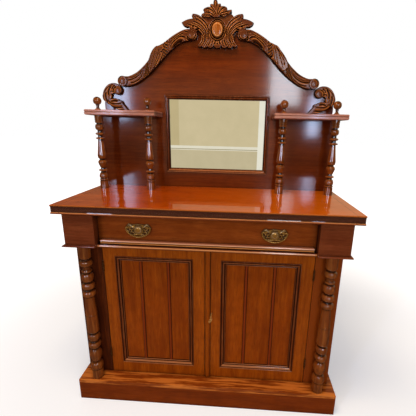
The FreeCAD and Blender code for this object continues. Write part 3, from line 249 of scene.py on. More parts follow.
@dataclass(frozen=True)
class AgedBrass:
    """Cast or pressed brass, rubbed bright on the high places and brown in the hollows.

    Lacquer and handling leave a satin face, and tarnish darkens wherever a cloth
    doesn't reach.
    """

    bright: str = "FFE4B4"
    body: str = "B47E34"
    tarnish: str = "2A1608"
    mottle_mm: float = 5.0
    reach_mm: float = 3.0
    roughness: float = 0.22

    def build(self, name: str) -> bpy.types.Material:
        """Makes the material, under the name given."""
        material, tree = empty_material(name)
        place = add(tree, "ShaderNodeTexCoord").outputs["Object"]
        mottle = add(tree, "ShaderNodeTexNoise", {0: place},
                     {2: 1 / (self.mottle_mm * MM), 3: 4.0, 4: 0.6})
        crevice = add(tree, "ShaderNodeAmbientOcclusion", {}, {1: self.reach_mm * MM}, samples=6)
        tone = add(tree, "ShaderNodeAttribute", attribute_name="tone").outputs["Fac"]
        rubbed = add(tree, "ShaderNodeMapRange", {0: tone}, {1: 0.35, 2: 0.8, 3: 0.0, 4: 1.0})
        metal = add(tree, "ShaderNodeMix", {0: rubbed.outputs[0]},
                    {6: linear(self.body), 7: linear(self.bright)}, data_type="RGBA")
        share = None
        for source, none, full, most in ((tone, -0.1, -0.7, 0.95),
                                         (crevice.outputs[1], 0.85, 0.30, 0.85),
                                         (mottle.outputs[0], 0.40, 0.75, 0.35)):
            part = add(tree, "ShaderNodeMapRange", {0: source},
                       {1: none, 2: full, 3: 0.0, 4: most})
            if share is not None:
                part = add(tree, "ShaderNodeMath", {0: share.outputs[0], 1: part.outputs[0]},
                           operation="MAXIMUM")
            share = part
        colour = add(tree, "ShaderNodeMix", {0: share.outputs[0], 6: metal.outputs[2]},
                     {7: linear(self.tarnish)}, data_type="RGBA")
        rough = add(tree, "ShaderNodeMapRange", {0: share.outputs[0]},
                    {1: 0.0, 2: 1.0, 3: self.roughness, 4: 0.6})
        bump = add(tree, "ShaderNodeBump", {2: mottle.outputs[0]}, {0: 0.3, 1: 0.15 * MM})
        shader = add(tree, "ShaderNodeBsdfPrincipled",
                     {"Base Color": colour.outputs[2], "Roughness": rough.outputs[0],
                      "Normal": bump.outputs[0]}, {"Metallic": 0.55})
        add(tree, "ShaderNodeOutputMaterial", {0: shader.outputs[0]})
        return material


@dataclass(frozen=True)
class BrightSteel:
    """Drawn or filed steel, kept bright by rubbing, with long fine scratches."""

    face: str = "8C8A86"
    scratch_mm: float = 1.5

    def build(self, name: str) -> bpy.types.Material:
        """Makes the material, under the name given."""
        material, tree = empty_material(name)
        place = add(tree, "ShaderNodeTexCoord").outputs["Object"]
        along = add(tree, "ShaderNodeMapping", {0: place}, {3: Grain.UPRIGHT.value})
        scratch = add(tree, "ShaderNodeTexNoise", {0: along.outputs[0]},
                      {2: 1 / (self.scratch_mm * MM), 3: 3.0})
        rough = add(tree, "ShaderNodeMapRange", {0: scratch.outputs[0]},
                    {1: 0.3, 2: 0.7, 3: 0.25, 4: 0.5})
        shader = add(tree, "ShaderNodeBsdfPrincipled", {"Roughness": rough.outputs[0]},
                     {"Base Color": linear(self.face), "Metallic": 1.0})
        add(tree, "ShaderNodeOutputMaterial", {0: shader.outputs[0]})
        return material


@dataclass(frozen=True)
class SilveredGlass:
    """Old plate glass silvered on the back: near perfect, a touch grey, with faint haze."""

    face: str = "F0F0EC"
    hazed: str = "E2E3DC"
    haze_mm: float = 70.0

    def build(self, name: str) -> bpy.types.Material:
        """Makes the material, under the name given."""
        material, tree = empty_material(name)
        place = add(tree, "ShaderNodeTexCoord").outputs["Object"]
        haze = add(tree, "ShaderNodeTexNoise", {0: place},
                   {2: 1 / (self.haze_mm * MM), 3: 3.0})
        colour = add(tree, "ShaderNodeMix", {0: haze.outputs[0]},
                     {6: linear(self.face), 7: linear(self.hazed)}, data_type="RGBA")
        shader = add(tree, "ShaderNodeBsdfPrincipled", {"Base Color": colour.outputs[2]},
                     {"Roughness": 0.0, "Metallic": 1.0})
        add(tree, "ShaderNodeOutputMaterial", {0: shader.outputs[0]})
        return material


# ------------------------------------------------------------------ numpy surfaces
def grid_faces(rows: int, columns: int, wrap: bool) -> Array:
    """Quads over a grid of points numbered row by row.

    Args:
        rows: number of rows of points.
        columns: number of points in a row.
        wrap: whether the last point of a row joins the first.

    Returns:
        An array of four point numbers for each quad.
    """
    row, column = np.meshgrid(np.arange(rows - 1), np.arange(columns if wrap else columns - 1),
                              indexing="ij")
    after = (column + 1) % columns
    quads = [row * columns + column, row * columns + after,
             (row + 1) * columns + after, (row + 1) * columns + column]
    return np.stack(quads, -1).reshape(-1, 4)


def tube_faces(rings: int, sides: int) -> list[Sequence[int]]:
    """Faces of rings of points numbered ring by ring, with a flat cap on each end."""
    return [*grid_faces(rings, sides, True).tolist(), range(sides),
            range((rings - 1) * sides, rings * sides)]


def mesh_piece(name: str, points: Array, faces: list[Sequence[int]], material: bpy.types.Material,
               sharp_deg: float = 40.0, tone: Array | None = None) -> bpy.types.Object:
    """Puts points and faces into a smooth-shaded object of its own.

    Args:
        name: the object's name.
        points: positions in metres, one row each.
        faces: point numbers of each face, in any winding.
        material: the finish of the whole piece.
        sharp_deg: edges bent by more than this stay sharp.
        tone: for each point, -1 in the deepest hollows to 1 on the sharpest ridges;
            kept as the attribute of that name.

    Returns:
        The object, at the origin, with its normals pointing outwards.
    """
    mesh = bpy.data.meshes.new(name)
    mesh.from_pydata(points.tolist(), [], [list(map(int, face)) for face in faces])
    mesh.update()
    if tone is not None:
        kept = mesh.attributes.new("tone", "FLOAT", "POINT")
        kept.data.foreach_set("value", np.asarray(tone, np.float32).ravel())
    outward_normals(mesh)
    mesh.shade_smooth()
    mesh.set_sharp_from_angle(angle=math.radians(sharp_deg))
    mesh.materials.append(material)
    made = bpy.data.objects.new(name, mesh)
    bpy.context.scene.collection.objects.link(made)
    return made


def outward_normals(mesh: bpy.types.Mesh) -> None:
    """Turns every face of a closed mesh outwards.

    Args:
        mesh: the mesh to mend.
    """
    work = bmesh.new()
    work.from_mesh(mesh)
    bmesh.ops.recalc_face_normals(work, faces=work.faces)
    work.to_mesh(mesh)
    work.free()


def softened(values: Array, reach: float) -> Array:
    """Gaussian mean of an array over neighbours along each of its axes.

    The weight of a neighbour n places away is exp(-n^2 / (2 reach^2)).

    Args:
        values: the array.
        reach: the mean's standard deviation, in places.

    Returns:
        The softened array, of the same shape.
    """
    steps = np.arange(-int(3 * reach) - 1, int(3 * reach) + 2)
    weight = np.exp(-0.5 * (steps / reach) ** 2)
    for axis in range(values.ndim):
        values = np.apply_along_axis(np.convolve, axis, values, weight / weight.sum(), "same")
    return values


def relief_tone(height: Array, reach: float, deep: float, inside: Array | None = None) -> Array:
    """Tells hollows from ridges: (height - softened height) / deep, held between -1 and 1.

    Args:
        height: heights on a grid or along a line.
        reach: standard deviation of the mean, in grid places.
        deep: how far under the mean counts as the deepest hollow.
        inside: which points are part of the piece; all, when left out.

    Returns:
        The tone of each point.
    """
    weight = np.ones(height.shape) if inside is None else inside.astype(float)
    mean = softened(height * weight, reach) / np.maximum(softened(weight, reach), 1e-6)
    return np.clip((height - mean) / deep, -1, 1) * weight


def lathe(name: str, profile: Array, centre: tuple[float, float], material: bpy.types.Material,
          sides: int = 40) -> bpy.types.Object:
    """Surface of revolution about an upright axis.

    The point at profile row i and angle a is
    (x + r_i cos a, y + r_i sin a, z_i); both ends are closed by a flat cap.

    Args:
        name: the object's name.
        profile: rows of (height, radius) in metres, from the foot up.
        centre: x and y of the axis.
        material: the finish.
        sides: points round a ring.

    Returns:
        The closed piece.
    """
    angle = np.linspace(0, 2 * math.pi, sides, endpoint=False)
    height, radius = profile[:, :1], profile[:, 1:]
    points = np.stack([centre[0] + radius * np.cos(angle), centre[1] + radius * np.sin(angle),
                       np.broadcast_to(height, (len(profile), sides))], -1).reshape(-1, 3)
    even = np.arange(profile[0, 0], profile[-1, 0], MM)
    turned = np.interp(even, profile[:, 0], profile[:, 1])
    tone = relief_tone(turned, reach=6.0, deep=0.22 * turned.max())
    rings = np.repeat(np.interp(profile[:, 0], even, tone), sides)
    return mesh_piece(name, points, tube_faces(len(profile), sides), material, tone=rings)


def smooth_path(points: Points, count: int) -> Array:
    """Catmull-Rom curve through points.

    Between points p1 and p2, with neighbours p0 and p3 and t from 0 to 1, it is
    half of (2 p1 + (p2 - p0) t + (2 p0 - 5 p1 + 4 p2 - p3) t^2
    + (3 p1 - p0 - 3 p2 + p3) t^3).

    Args:
        points: the points that the curve passes, of any dimension.
        count: how many samples to take.

    Returns:
        The samples, one row each.
    """
    knots = np.asarray(points, float)
    knots = np.vstack([2 * knots[0] - knots[1], knots, 2 * knots[-1] - knots[-2]])
    place = np.linspace(0, len(knots) - 3 - 1e-9, count)
    start = place.astype(int)
    t = (place - start)[:, None]
    p0, p1, p2, p3 = (knots[start + step] for step in range(4))
    return 0.5 * (2 * p1 + (p2 - p0) * t + (2 * p0 - 5 * p1 + 4 * p2 - p3) * t ** 2
                  + (3 * p1 - p0 - 3 * p2 + p3) * t ** 3)


def arc_path(points: Points, steps: int = 8) -> Array:
    """Points along arcs of three points each, every arc starting where the last ends.

    The centre of each arc is where the perpendicular bisectors of its chords meet,
    and the angle runs evenly from the first point past the second to the third.

    Args:
        points: an odd number of points, or two for a straight line.
        steps: samples along one arc.

    Returns:
        The samples, without the last point.
    """
    drawn = np.asarray(points, float)
    if len(drawn) == 2:
        return drawn[:1]
    runs = []
    for start in range(0, len(drawn) - 2, 2):
        a, b, c = drawn[start:start + 3]
        system = 2 * np.array([b - a, c - b])
        square = np.array([b @ b - a @ a, c @ c - b @ b])
        if abs(np.linalg.det(system)) < 1e-9:
            runs.append(np.array([a, b]))
            continue
        centre = np.linalg.solve(system, square)
        turns = [math.atan2(*(p - centre)[::-1]) for p in (a, b, c)]
        swing = (turns[2] - turns[0]) % (2 * math.pi)
        if (turns[1] - turns[0]) % (2 * math.pi) > swing:
            swing -= 2 * math.pi
        angle = turns[0] + swing * np.arange(steps) / steps
        radius = np.linalg.norm(a - centre)
        runs.append(centre + radius * np.stack([np.cos(angle), np.sin(angle)], -1))
    return np.vstack(runs)


def side_name(side: int) -> str:
    """The word for a side: right for 1, left for -1."""
    return "right" if side > 0 else "left"


def outline_of(pieces: Sequence[Points], steps: int = 8) -> Array:
    """Closed outline from point lists for arc_path, end to end."""
    return np.vstack([arc_path(points, steps) for points in pieces])


def mirrored_outline(pieces: Sequence[Points], middle: float = 0.0) -> list[Points]:
    """A right-hand outline followed by its reflection in the line x = middle."""
    left = [[(2 * middle - x, z) for x, z in reversed(points)] for points in reversed(pieces)]
    return [*pieces, *left]


def path_distance(points: Array, path: Array) -> tuple[Array, Array]:
    """Distance of points from a run of straight pieces.

    For each piece a-b the nearest share is (p - a).(b - a) / |b - a|^2, held between
    0 and 1; the smallest distance of all the pieces counts.

    Args:
        points: rows of (x, z).
        path: rows of (x, z) along the run.

    Returns:
        The distance, and how far along the run its nearest point is, from 0 to 1.
    """
    best = np.full(len(points), np.inf)
    where = np.zeros(len(points))
    length = np.linalg.norm(np.diff(path, axis=0), axis=1)
    before = np.concatenate([[0], np.cumsum(length)])
    total = max(before[-1], 1e-9)
    for index in range(len(path) - 1):
        start, step = path[index], path[index + 1] - path[index]
        share = np.clip(((points - start) @ step) / max(step @ step, 1e-12), 0, 1)
        away = np.linalg.norm(points - start - share[:, None] * step, axis=1)
        nearer = away < best
        best[nearer] = away[nearer]
        where[nearer] = (before[index] + share[nearer] * length[index]) / total
    return best, where


def inside_distance(points: Array, outline: Array) -> Array:
    """Distance from a closed outline, positive inside it.

    A point is inside where a ray to its right crosses the outline an odd number of
    times.

    Args:
        points: rows of (x, z).
        outline: rows of (x, z), the last joining the first.

    Returns:
        The signed distance of each point.
    """
    closed = np.vstack([outline, outline[:1]])
    away, _ = path_distance(points, closed)
    odd = np.zeros(len(points), bool)
    for (x0, z0), (x1, z1) in zip(closed[:-1], closed[1:]):
        if z0 == z1:
            continue
        spans = (points[:, 1] < max(z0, z1)) & (points[:, 1] >= min(z0, z1))
        cross = x0 + (points[:, 1] - z0) / (z1 - z0) * (x1 - x0)
        odd ^= spans & (points[:, 0] < cross)
    return np.where(odd, away, -away)


@dataclass
class Relief:
    """Carving worked as a height over a flat outline.

    The outline is laid on a square grid. Each grid point has a height in front of
    the back plane, which starts as a flat face with rounded edges; gouges, ridges
    and domes then change it. Points just outside the outline are moved onto it, so
    the edge is smooth at any grid size. All drawing sizes are in millimetres.
    """

    outline: Array
    cell: float
    thick: float
    edge: float = 3.0
    holes: tuple[Array, ...] = ()
    thinnest: float = 0.6
    tone_reach: float = 3.2
    tone_deep: float = 2.2
    # Painted shade along the outline: how much it darkens the carving's edge and walls, and over
    # what width.
    rim_shade: float = 1.1
    rim_width: float = 1.5

    def __post_init__(self) -> None:
        """Lays the grid and the plain face."""
        low = self.outline.min(0) - self.cell
        high = self.outline.max(0) + self.cell
        self.across = np.arange(low[0], high[0] + self.cell, self.cell)
        self.up = np.arange(low[1], high[1] + self.cell, self.cell)
        grid = np.stack(np.meshgrid(self.across, self.up, indexing="ij"), -1)
        self.shape = grid.shape[:2]
        self.points = grid.reshape(-1, 2)
        depth = inside_distance(self.points, self.outline)
        for hole in self.holes:
            depth = np.minimum(depth, -inside_distance(self.points, hole))
        self.depth = depth
        share = np.clip(depth / self.edge, 0, 1)
        self.height = self.thick - 0.45 * self.edge * (1 - np.sqrt(1 - (1 - share) ** 2))

    def gouge(self, points: Points, width: float, deep: float, taper: float = 0.25,
              count: int = 24) -> None:
        """Cuts a rounded groove along a curve.

        The cut is deep x ends x exp(-(distance / half width)^2), where ends rises
        from 0 to 1 over the share taper of the length at each end. A negative depth
        raises a ridge.

        Args:
            points: the curve's control points.
            width: width of the groove.
            deep: its depth.
            taper: share of the length over which each end runs out.
            count: samples along the curve.
        """
        away, share = path_distance(self.points, smooth_path(points, count))
        ends = np.clip(np.minimum(share, 1 - share) / max(taper, 1e-6), 0, 1)
        ends = ends * ends * (3 - 2 * ends) if taper > 0 else 1.0
        self.height -= deep * ends * np.exp(-(away / (width / 2)) ** 2)

    def swell(self, centre: tuple[float, float], reach: tuple[float, float], rise: float) -> None:
        """Raises an oval dome: rise x sqrt(1 - q), q being the squared share of the reach."""
        offset = (self.points - centre) / reach
        square = np.clip(1 - (offset ** 2).sum(1), 0, None)
        self.height += rise * np.sqrt(square)

    def change(self, amount: Callable[[Array, Array], Array]) -> None:
        """Adds a height worked out from the points' x and z."""
        self.height += amount(self.points[:, 0], self.points[:, 1])

    def piece(self, name: str, place: Place,
              material: bpy.types.Material, sharp_deg: float = 60.0) -> bpy.types.Object:
        """Makes the closed solid: carved face, walls and flat back.

        Args:
            name: the object's name.
            place: turns arrays of x, z and height in millimetres into positions in
                metres.
            material: the finish.
            sharp_deg: edges bent by more than this stay sharp.

        Returns:
            The finished object.
        """
        across = self.depth.reshape(self.shape)
        slope = np.stack(np.gradient(across, self.cell), -1).reshape(-1, 2)
        steep = np.maximum((slope ** 2).sum(1, keepdims=True), 0.25)
        snapped = self.points - np.clip(self.depth, None, 0)[:, None] * slope / steep
        faces = grid_faces(self.shape[0], self.shape[1], False)
        kept = faces[(self.depth[faces] > -0.75 * self.cell).all(1)
                     & (self.depth[faces] > 0).any(1)]
        used = np.unique(kept)
        number = np.full(len(self.points), -1)
        number[used] = np.arange(len(used))
        front = number[kept]
        grid = self.height.reshape(self.shape)
        tone = relief_tone(grid, self.tone_reach / self.cell, self.tone_deep, across > -self.cell)
        # Painted shade close to the outline, darkening the edge and the walls that drop from it.
        tone = tone.ravel() - self.rim_shade * np.exp(-(self.depth / self.rim_width) ** 2)
        height = np.maximum(self.height[used], self.thinnest)
        x, z = snapped[used].T
        points = np.vstack([place(x, z, height), place(x, z, np.zeros_like(x))])
        count = len(used)
        edges = np.concatenate([front[:, [a, (a + 1) % 4]] for a in range(4)])
        key = np.sort(edges, 1) @ np.array([count, 1])
        _, first, times = np.unique(key, return_index=True, return_counts=True)
        rim = edges[first[times == 1]]
        walls = np.stack([rim[:, 1], rim[:, 0], rim[:, 0] + count, rim[:, 1] + count], -1)
        back = front[:, ::-1] + count
        tones = np.concatenate([tone[used], np.full(count, BACK_SHADE_TONE)])
        return mesh_piece(name, points, [*front.tolist(), *walls.tolist(), *back.tolist()],
                          material, sharp_deg, tones)


def on_board(front: float, rise: float = 0.0) -> Place:
    """Places a drawing on a board parallel to the wall.

    Args:
        front: y of the board's face, in metres.
        rise: added to the drawing's height, in millimetres.

    Returns:
        A function of x, z and height in millimetres that gives positions in metres.
    """
    def place(x: Array, z: Array, height: Array) -> Array:
        """A point of the drawing in front of the board."""
        return np.stack([x * MM, front - height * MM, (z + rise) * MM], -1)
    return place


def tube(name: str, path: Array, radius: Array, normal: Sequence[float],
         material: bpy.types.Material, sides: int = 14) -> bpy.types.Object:
    """Round bar along a path that lies in a plane.

    Each ring is path + r (cos a side + sin a normal), where side is the path's
    tangent crossed with the plane's normal.

    Args:
        name: the object's name.
        path: rows of positions in metres.
        radius: the bar's radius at each, in metres.
        normal: unit normal of the plane.
        material: the finish.
        sides: points round a ring.

    Returns:
        The closed piece.
    """
    tangent = np.gradient(path, axis=0)
    tangent /= np.linalg.norm(tangent, axis=1, keepdims=True)
    plane = np.asarray(normal, float)
    side = np.cross(tangent, plane)
    angle = np.linspace(0, 2 * math.pi, sides, endpoint=False)
    ring = (np.cos(angle)[None, :, None] * side[:, None, :]
            + np.sin(angle)[None, :, None] * plane[None, None, :])
    points = (path[:, None, :] + radius[:, None, None] * ring).reshape(-1, 3)
    return mesh_piece(name, points, tube_faces(len(path), sides), material)


# ------------------------------------------------------------------------- finishes
class Finish(Enum):
    """The object's finishes, each with its material's name."""

    WORKTOP = "mahogany worktop under French polish"
    EDGE = "moulded mahogany edge"
    DRAWER = "mahogany drawer front"
    BLOCK = "mahogany frieze block"
    DOOR_STILE = "mahogany door stile"
    DOOR_PANEL = "mahogany door panel"
    MOULDING = "mahogany door moulding"
    BACKBOARD = "mahogany backboard under French polish"
    SHELF = "mahogany gallery shelf"
    GABLE = "mahogany gable"
    PLINTH = "mahogany plinth"
    LEDGE = "mahogany ledge"
    TURNED = "lathe-turned mahogany"
    SPINDLE = "turned gallery mahogany"
    CARVED = "carved and waxed mahogany"
    STONE = "polished cabochon"
    PINE = "bare aged pine"
    MIRROR = "silvered plate glass"
    BRASS = "cast brass, tarnished in the hollows"
    KEY = "brass rubbed by hands"
    HINGE = "brass gone brown"
    STEEL = "filed steel"


# The mahoganies are the same wood and differ by painted light, wear and polish: (ground, shade,
# glow) are its body, its darker bands and stains, and its ribbons and painted ridge highlights.
FINISHES: dict[Finish, PolishedWood | AgedBrass | BrightSteel | SilveredGlass] = {
    # A thick, glassy film over red-orange wood, paler towards its right end.
    Finish.WORKTOP: PolishedWood(
        "B24402", "882C00", "E07008", Grain.ACROSS,
        band_mm=46, ribbon_mm=11, sheen=0.05, polish=1.0, polish_roughness=0.03,
        polish_ior=1.9, ripple_mm=40, ripple_depth_mm=0.3, crevice_shade=0.5, drift=0.5, seed=0.3),
    # Shaped with a plane, with painted highlights along its rounded parts and painted shadow in its
    # quirks.
    Finish.EDGE: PolishedWood(
        "A8581E", "70300E", "DC9450", Grain.ACROSS,
        polish=0.35, polish_roughness=0.14, seed=1.1),
    # A thin satin polish, with painted shade under the worktop's overhang.
    Finish.DRAWER: PolishedWood(
        "863C10", "6A2A08", "9A4C16", Grain.ACROSS,
        crevice_shade=0.95, crevice_shade_reach_mm=42, seed=2.2),
    # Painted shade under the worktop's overhang, as on the drawer.
    Finish.BLOCK: PolishedWood(
        "703418", "54200C", "804220", Grain.ACROSS,
        crevice_shade=0.95, crevice_shade_reach_mm=42, seed=3.1),
    # Oiled and waxed wood that has faded to orange-brown, with upright bands.
    Finish.DOOR_STILE: PolishedWood(
        "964406", "742E05", "AE5A10", Grain.UPRIGHT, seed=4.7),
    Finish.DOOR_PANEL: PolishedWood(
        "8A3A04", "6C2804", "A2500A", Grain.UPRIGHT, seed=5.9),
    # Painted shade, near black, in the quirks; painted highlights, partly wear, on the ridges in
    # bare reddish wood.
    Finish.MOULDING: PolishedWood(
        "6C2C08", "4E1C06", "A8683C", Grain.UPRIGHT,
        polish=0.5, hollow_shade=0.9, ridge_highlight_and_wear=0.75, seed=6.3),
    # Thinly polished veneer whose uneven ground breaks up what it mirrors.
    # Its strong, short-reach ambient occlusion paints a dark shadow line under and round the
    # carvings.
    Finish.BACKBOARD: PolishedWood(
        "662606", "4E1A04", "7E380C", Grain.ACROSS,
        band_mm=60, ribbon_mm=12, polish=0.55, polish_roughness=0.10,
        ripple_mm=22, ripple_depth_mm=2.4,
        crevice_shade=1.0, crevice_shade_reach_mm=11, seed=7.4),
    # A pale, pinkish board; part of its lightness is a painted sheen.
    Finish.SHELF: PolishedWood(
        "A86C54", "7A4836", "CC9E8C", Grain.ACROSS,
        polish=0.5, polish_roughness=0.14, seed=8.8),
    # Plain darker wood, with painted light: lighter towards the right, darker on the left-hand
    # pieces.
    Finish.GABLE: PolishedWood(
        "481C0A", "341206", "8A3C0C", Grain.UPRIGHT, drift=0.75, seed=9.2),
    Finish.PLINTH: PolishedWood(
        "7A3006", "5E2204", "92420E", Grain.ACROSS, seed=10.5),
    # Scuffed along the grain to bare orange wood.
    Finish.LEDGE: PolishedWood(
        "8A3C0C", "6A2A08", "B05A16", Grain.ACROSS,
        polish=0.6, polish_roughness=0.12, wear_and_light="C8702A", seed=11.6),
    # Friction-polished in the lathe, with painted highlights on beads and painted shade, near
    # black, in coves.
    Finish.TURNED: PolishedWood(
        "7A380E", "54240A", "B06A2C", Grain.UPRIGHT,
        polish=1.0, polish_roughness=0.07, polish_ior=1.8, crevice_shade=0.85, crevice_shade_reach_mm=9,
        hollow_shade=0.9, ridge_highlight_and_wear=0.3, seed=12.1),
    # The colonnettes and finials, with the same painted highlights and shade.
    Finish.SPINDLE: PolishedWood(
        "7C3C12", "50240A", "C07430", Grain.UPRIGHT,
        polish=1.0, polish_roughness=0.06, polish_ior=1.8, crevice_shade=0.85, crevice_shade_reach_mm=7,
        hollow_shade=0.95, ridge_highlight_and_wear=0.15, seed=12.8),
    # Gouged and waxed and dull, with painted shade in every cut and painted highlights, brown, on
    # the ridges.
    Finish.CARVED: PolishedWood(
        "5A290E", "421C0A", "A4612C", Grain.ACROSS,
        polish=0.35, polish_roughness=0.2, crevice_shade=0.85, crevice_shade_reach_mm=8,
        hollow_shade=0.95, ridge_highlight_and_wear=0.85, seed=13.9),
    # An oval boss, amber and smooth, with a painted highlight in a pale ring near its rim and
    # painted shade on its lower edge.
    Finish.STONE: PolishedWood(
        "984E10", "783808", "E8A868", Grain.UPRIGHT,
        roughness=0.3, polish=0.6, polish_roughness=0.2, ripple_depth_mm=0.05,
        crevice_shade=0.6, crevice_shade_reach_mm=6, hollow_shade=0.85, ridge_highlight_and_wear=0.6, seed=14.4),
    # Sawn and planed, never polished: dry, yellow-brown and rough.
    Finish.PINE: PolishedWood(
        "A87C4C", "8A5E36", "C49A66", Grain.UPRIGHT,
        roughness=0.7, polish=0.0, seed=15.7),
    Finish.MIRROR: SilveredGlass(),
    Finish.BRASS: AgedBrass(),
    Finish.KEY: AgedBrass(body="E4B060"),
    Finish.HINGE: AgedBrass(body="5A3A1C", tarnish="1C0E06"),
    Finish.STEEL: BrightSteel(),
}


def edge_light_and_shade(material: bpy.types.Material, top: float, thick: float,
                shades: Sequence[tuple[float, str]]) -> None:
    """Colours the moulded edge of a board by the depth below its top.

    The colours paint light over the wood: highlights on the nosing and the lower lip,
    and shadow in the grooves of the reeds between them and under the lip.

    Args:
        material: the board's own finish, which is changed.
        top: height of the board's top, in metres.
        thick: its thickness.
        shades: (depth in millimetres, sRGB hex) pairs from the top down.
    """
    tree = material.node_tree
    shader = next(node for node in tree.nodes if node.type == "BSDF_PRINCIPLED")
    place = add(tree, "ShaderNodeTexCoord").outputs["Object"]
    height = add(tree, "ShaderNodeSeparateXYZ", {0: place}).outputs[2]
    share = add(tree, "ShaderNodeMapRange", {0: height}, {1: top, 2: top - thick, 3: 0.0, 4: 1.0})
    ramp = add(tree, "ShaderNodeValToRGB", {0: share.outputs[0]})
    stops = ramp.color_ramp.elements
    for index, (depth, colour) in enumerate(shades):
        stop = stops[index] if index < 2 else stops.new(1.0)
        stop.position = depth * MM / thick
        stop.color = linear(colour)
    below = add(tree, "ShaderNodeMath", {0: height}, {1: top - 0.4 * MM}, operation="LESS_THAN")
    old = shader.inputs["Base Color"].links[0].from_socket
    mixed = add(tree, "ShaderNodeMix", {0: below.outputs[0], 6: old, 7: ramp.outputs[0]},
                data_type="RGBA")
    tree.links.new(mixed.outputs[2], shader.inputs["Base Color"])


def darkened_upright_bands(material: bpy.types.Material, places: Sequence[float], half: float,
                   colour: str, most: float) -> None:
    """Darkens upright bands of a board by a colour: painted shadow beside beads, and plain dark
    lines elsewhere.

    Args:
        material: the board's own finish, which is changed.
        places: the bands' places across, in metres.
        half: half width of a band.
        colour: the colour laid over the bands.
        most: its strength in the middle of a band.
    """
    tree = material.node_tree
    shader = next(node for node in tree.nodes if node.type == "BSDF_PRINCIPLED")
    place = add(tree, "ShaderNodeTexCoord").outputs["Object"]
    across = add(tree, "ShaderNodeSeparateXYZ", {0: place}).outputs[0]
    colours = shader.inputs["Base Color"].links[0].from_socket
    for middle in places:
        offset = add(tree, "ShaderNodeMath", {0: across}, {1: middle}, operation="SUBTRACT")
        near = add(tree, "ShaderNodeMath", {0: offset.outputs[0]}, operation="ABSOLUTE")
        share = add(tree, "ShaderNodeMapRange", {0: near.outputs[0]},
                    {1: half * 0.4, 2: half, 3: most, 4: 0.0})
        colours = add(tree, "ShaderNodeMix", {0: share.outputs[0], 6: colours},
                      {7: linear(colour)}, data_type="RGBA").outputs[2]
    tree.links.new(colours, shader.inputs["Base Color"])


# Depth below the top, in millimetres, and colour of each part of the worktop's edge: painted
# highlights on the nosing and the lip, painted shadow in the reeds' grooves and under the lip.
EDGE_LIGHT_AND_SHADE: Sequence[tuple[float, str]] = (
    (0.0, "B86A34"), (2.0, "A0541E"), (5.0, "7A3C18"), (6.6, "200A04"),
    (8.9, "5A3020"), (11.7, "1E0A05"), (13.6, "5A3020"), (16.4, "1E0A05"),
    (18.3, "5E3424"), (21.1, "1E0A05"), (23.0, "5A3020"), (25.8, "1E0A05"),
    (27.7, "5A3020"), (30.0, "1A0803"), (31.4, "D08850"), (33.0, "A05A30"),
    (35.0, "7A3616"), (38.0, "501E0A"))


# The same for the drawer's lower moulding and the astragal of the rail under it, with painted
# highlights on the rounds and painted shadow in the quirks and in the gap between the two.
MOULD_LIGHT_AND_SHADE: Sequence[tuple[float, str]] = (
    (0.0, "3A1608"), (1.5, "8A4A2C"), (4.0, "A8623E"), (8.4, "DCA078"), (11.0, "A05A28"),
    (13.0, "240A04"), (14.6, "94501E"), (16.0, "DC944C"), (18.6, "84401A"), (20.0, "160602"),
    (21.6, "160602"), (23.5, "6A3014"), (27.0, "D08850"), (30.0, "985628"), (33.5, "5A2A10"),
    (36.5, "200A04"))


def build_finishes() -> dict[Finish, bpy.types.Material]:
    """Makes every material of the object."""
    made = {finish: recipe.build(finish.value) for finish, recipe in FINISHES.items()}
    # Painted highlights and shadow lines by height on the drawer's moulding, the rail and the
    # worktop's edge.
    mould_top, rail_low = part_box("drawer_front_moulding")[1].z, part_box("drawer_rail")[0].z
    edge_light_and_shade(made[Finish.EDGE], mould_top, mould_top - rail_low, MOULD_LIGHT_AND_SHADE)
    low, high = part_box("worktop")
    edge_light_and_shade(made[Finish.WORKTOP], high.z, high.z - low.z, EDGE_LIGHT_AND_SHADE)
    reeds = [side * reed * MM for reed in (172.5, 295.9) for side in (1, -1)]
    # A darker, redder band over each reed of the door panels.
    darkened_upright_bands(made[Finish.DOOR_PANEL], reeds, 8 * MM, "74280E", 0.7)
    # Painted shadow along the quirks on both sides of each reed.
    darkened_upright_bands(made[Finish.DOOR_PANEL], [reed + side * 6 * MM for reed in reeds
                                             for side in (1, -1)], 2.6 * MM, "260A04", 0.85)
    # Two dark lines running front to back on the worktop, 575 mm either side of its middle.
    darkened_upright_bands(made[Finish.WORKTOP], (-575 * MM, 575 * MM), 1.5 * MM, "4A1804", 0.7)
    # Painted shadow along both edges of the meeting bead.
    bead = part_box("meeting_bead")
    darkened_upright_bands(made[Finish.DOOR_STILE], [corner.x for corner in bead], 2.6 * MM,
                   "1E0804", 0.9)
    return made


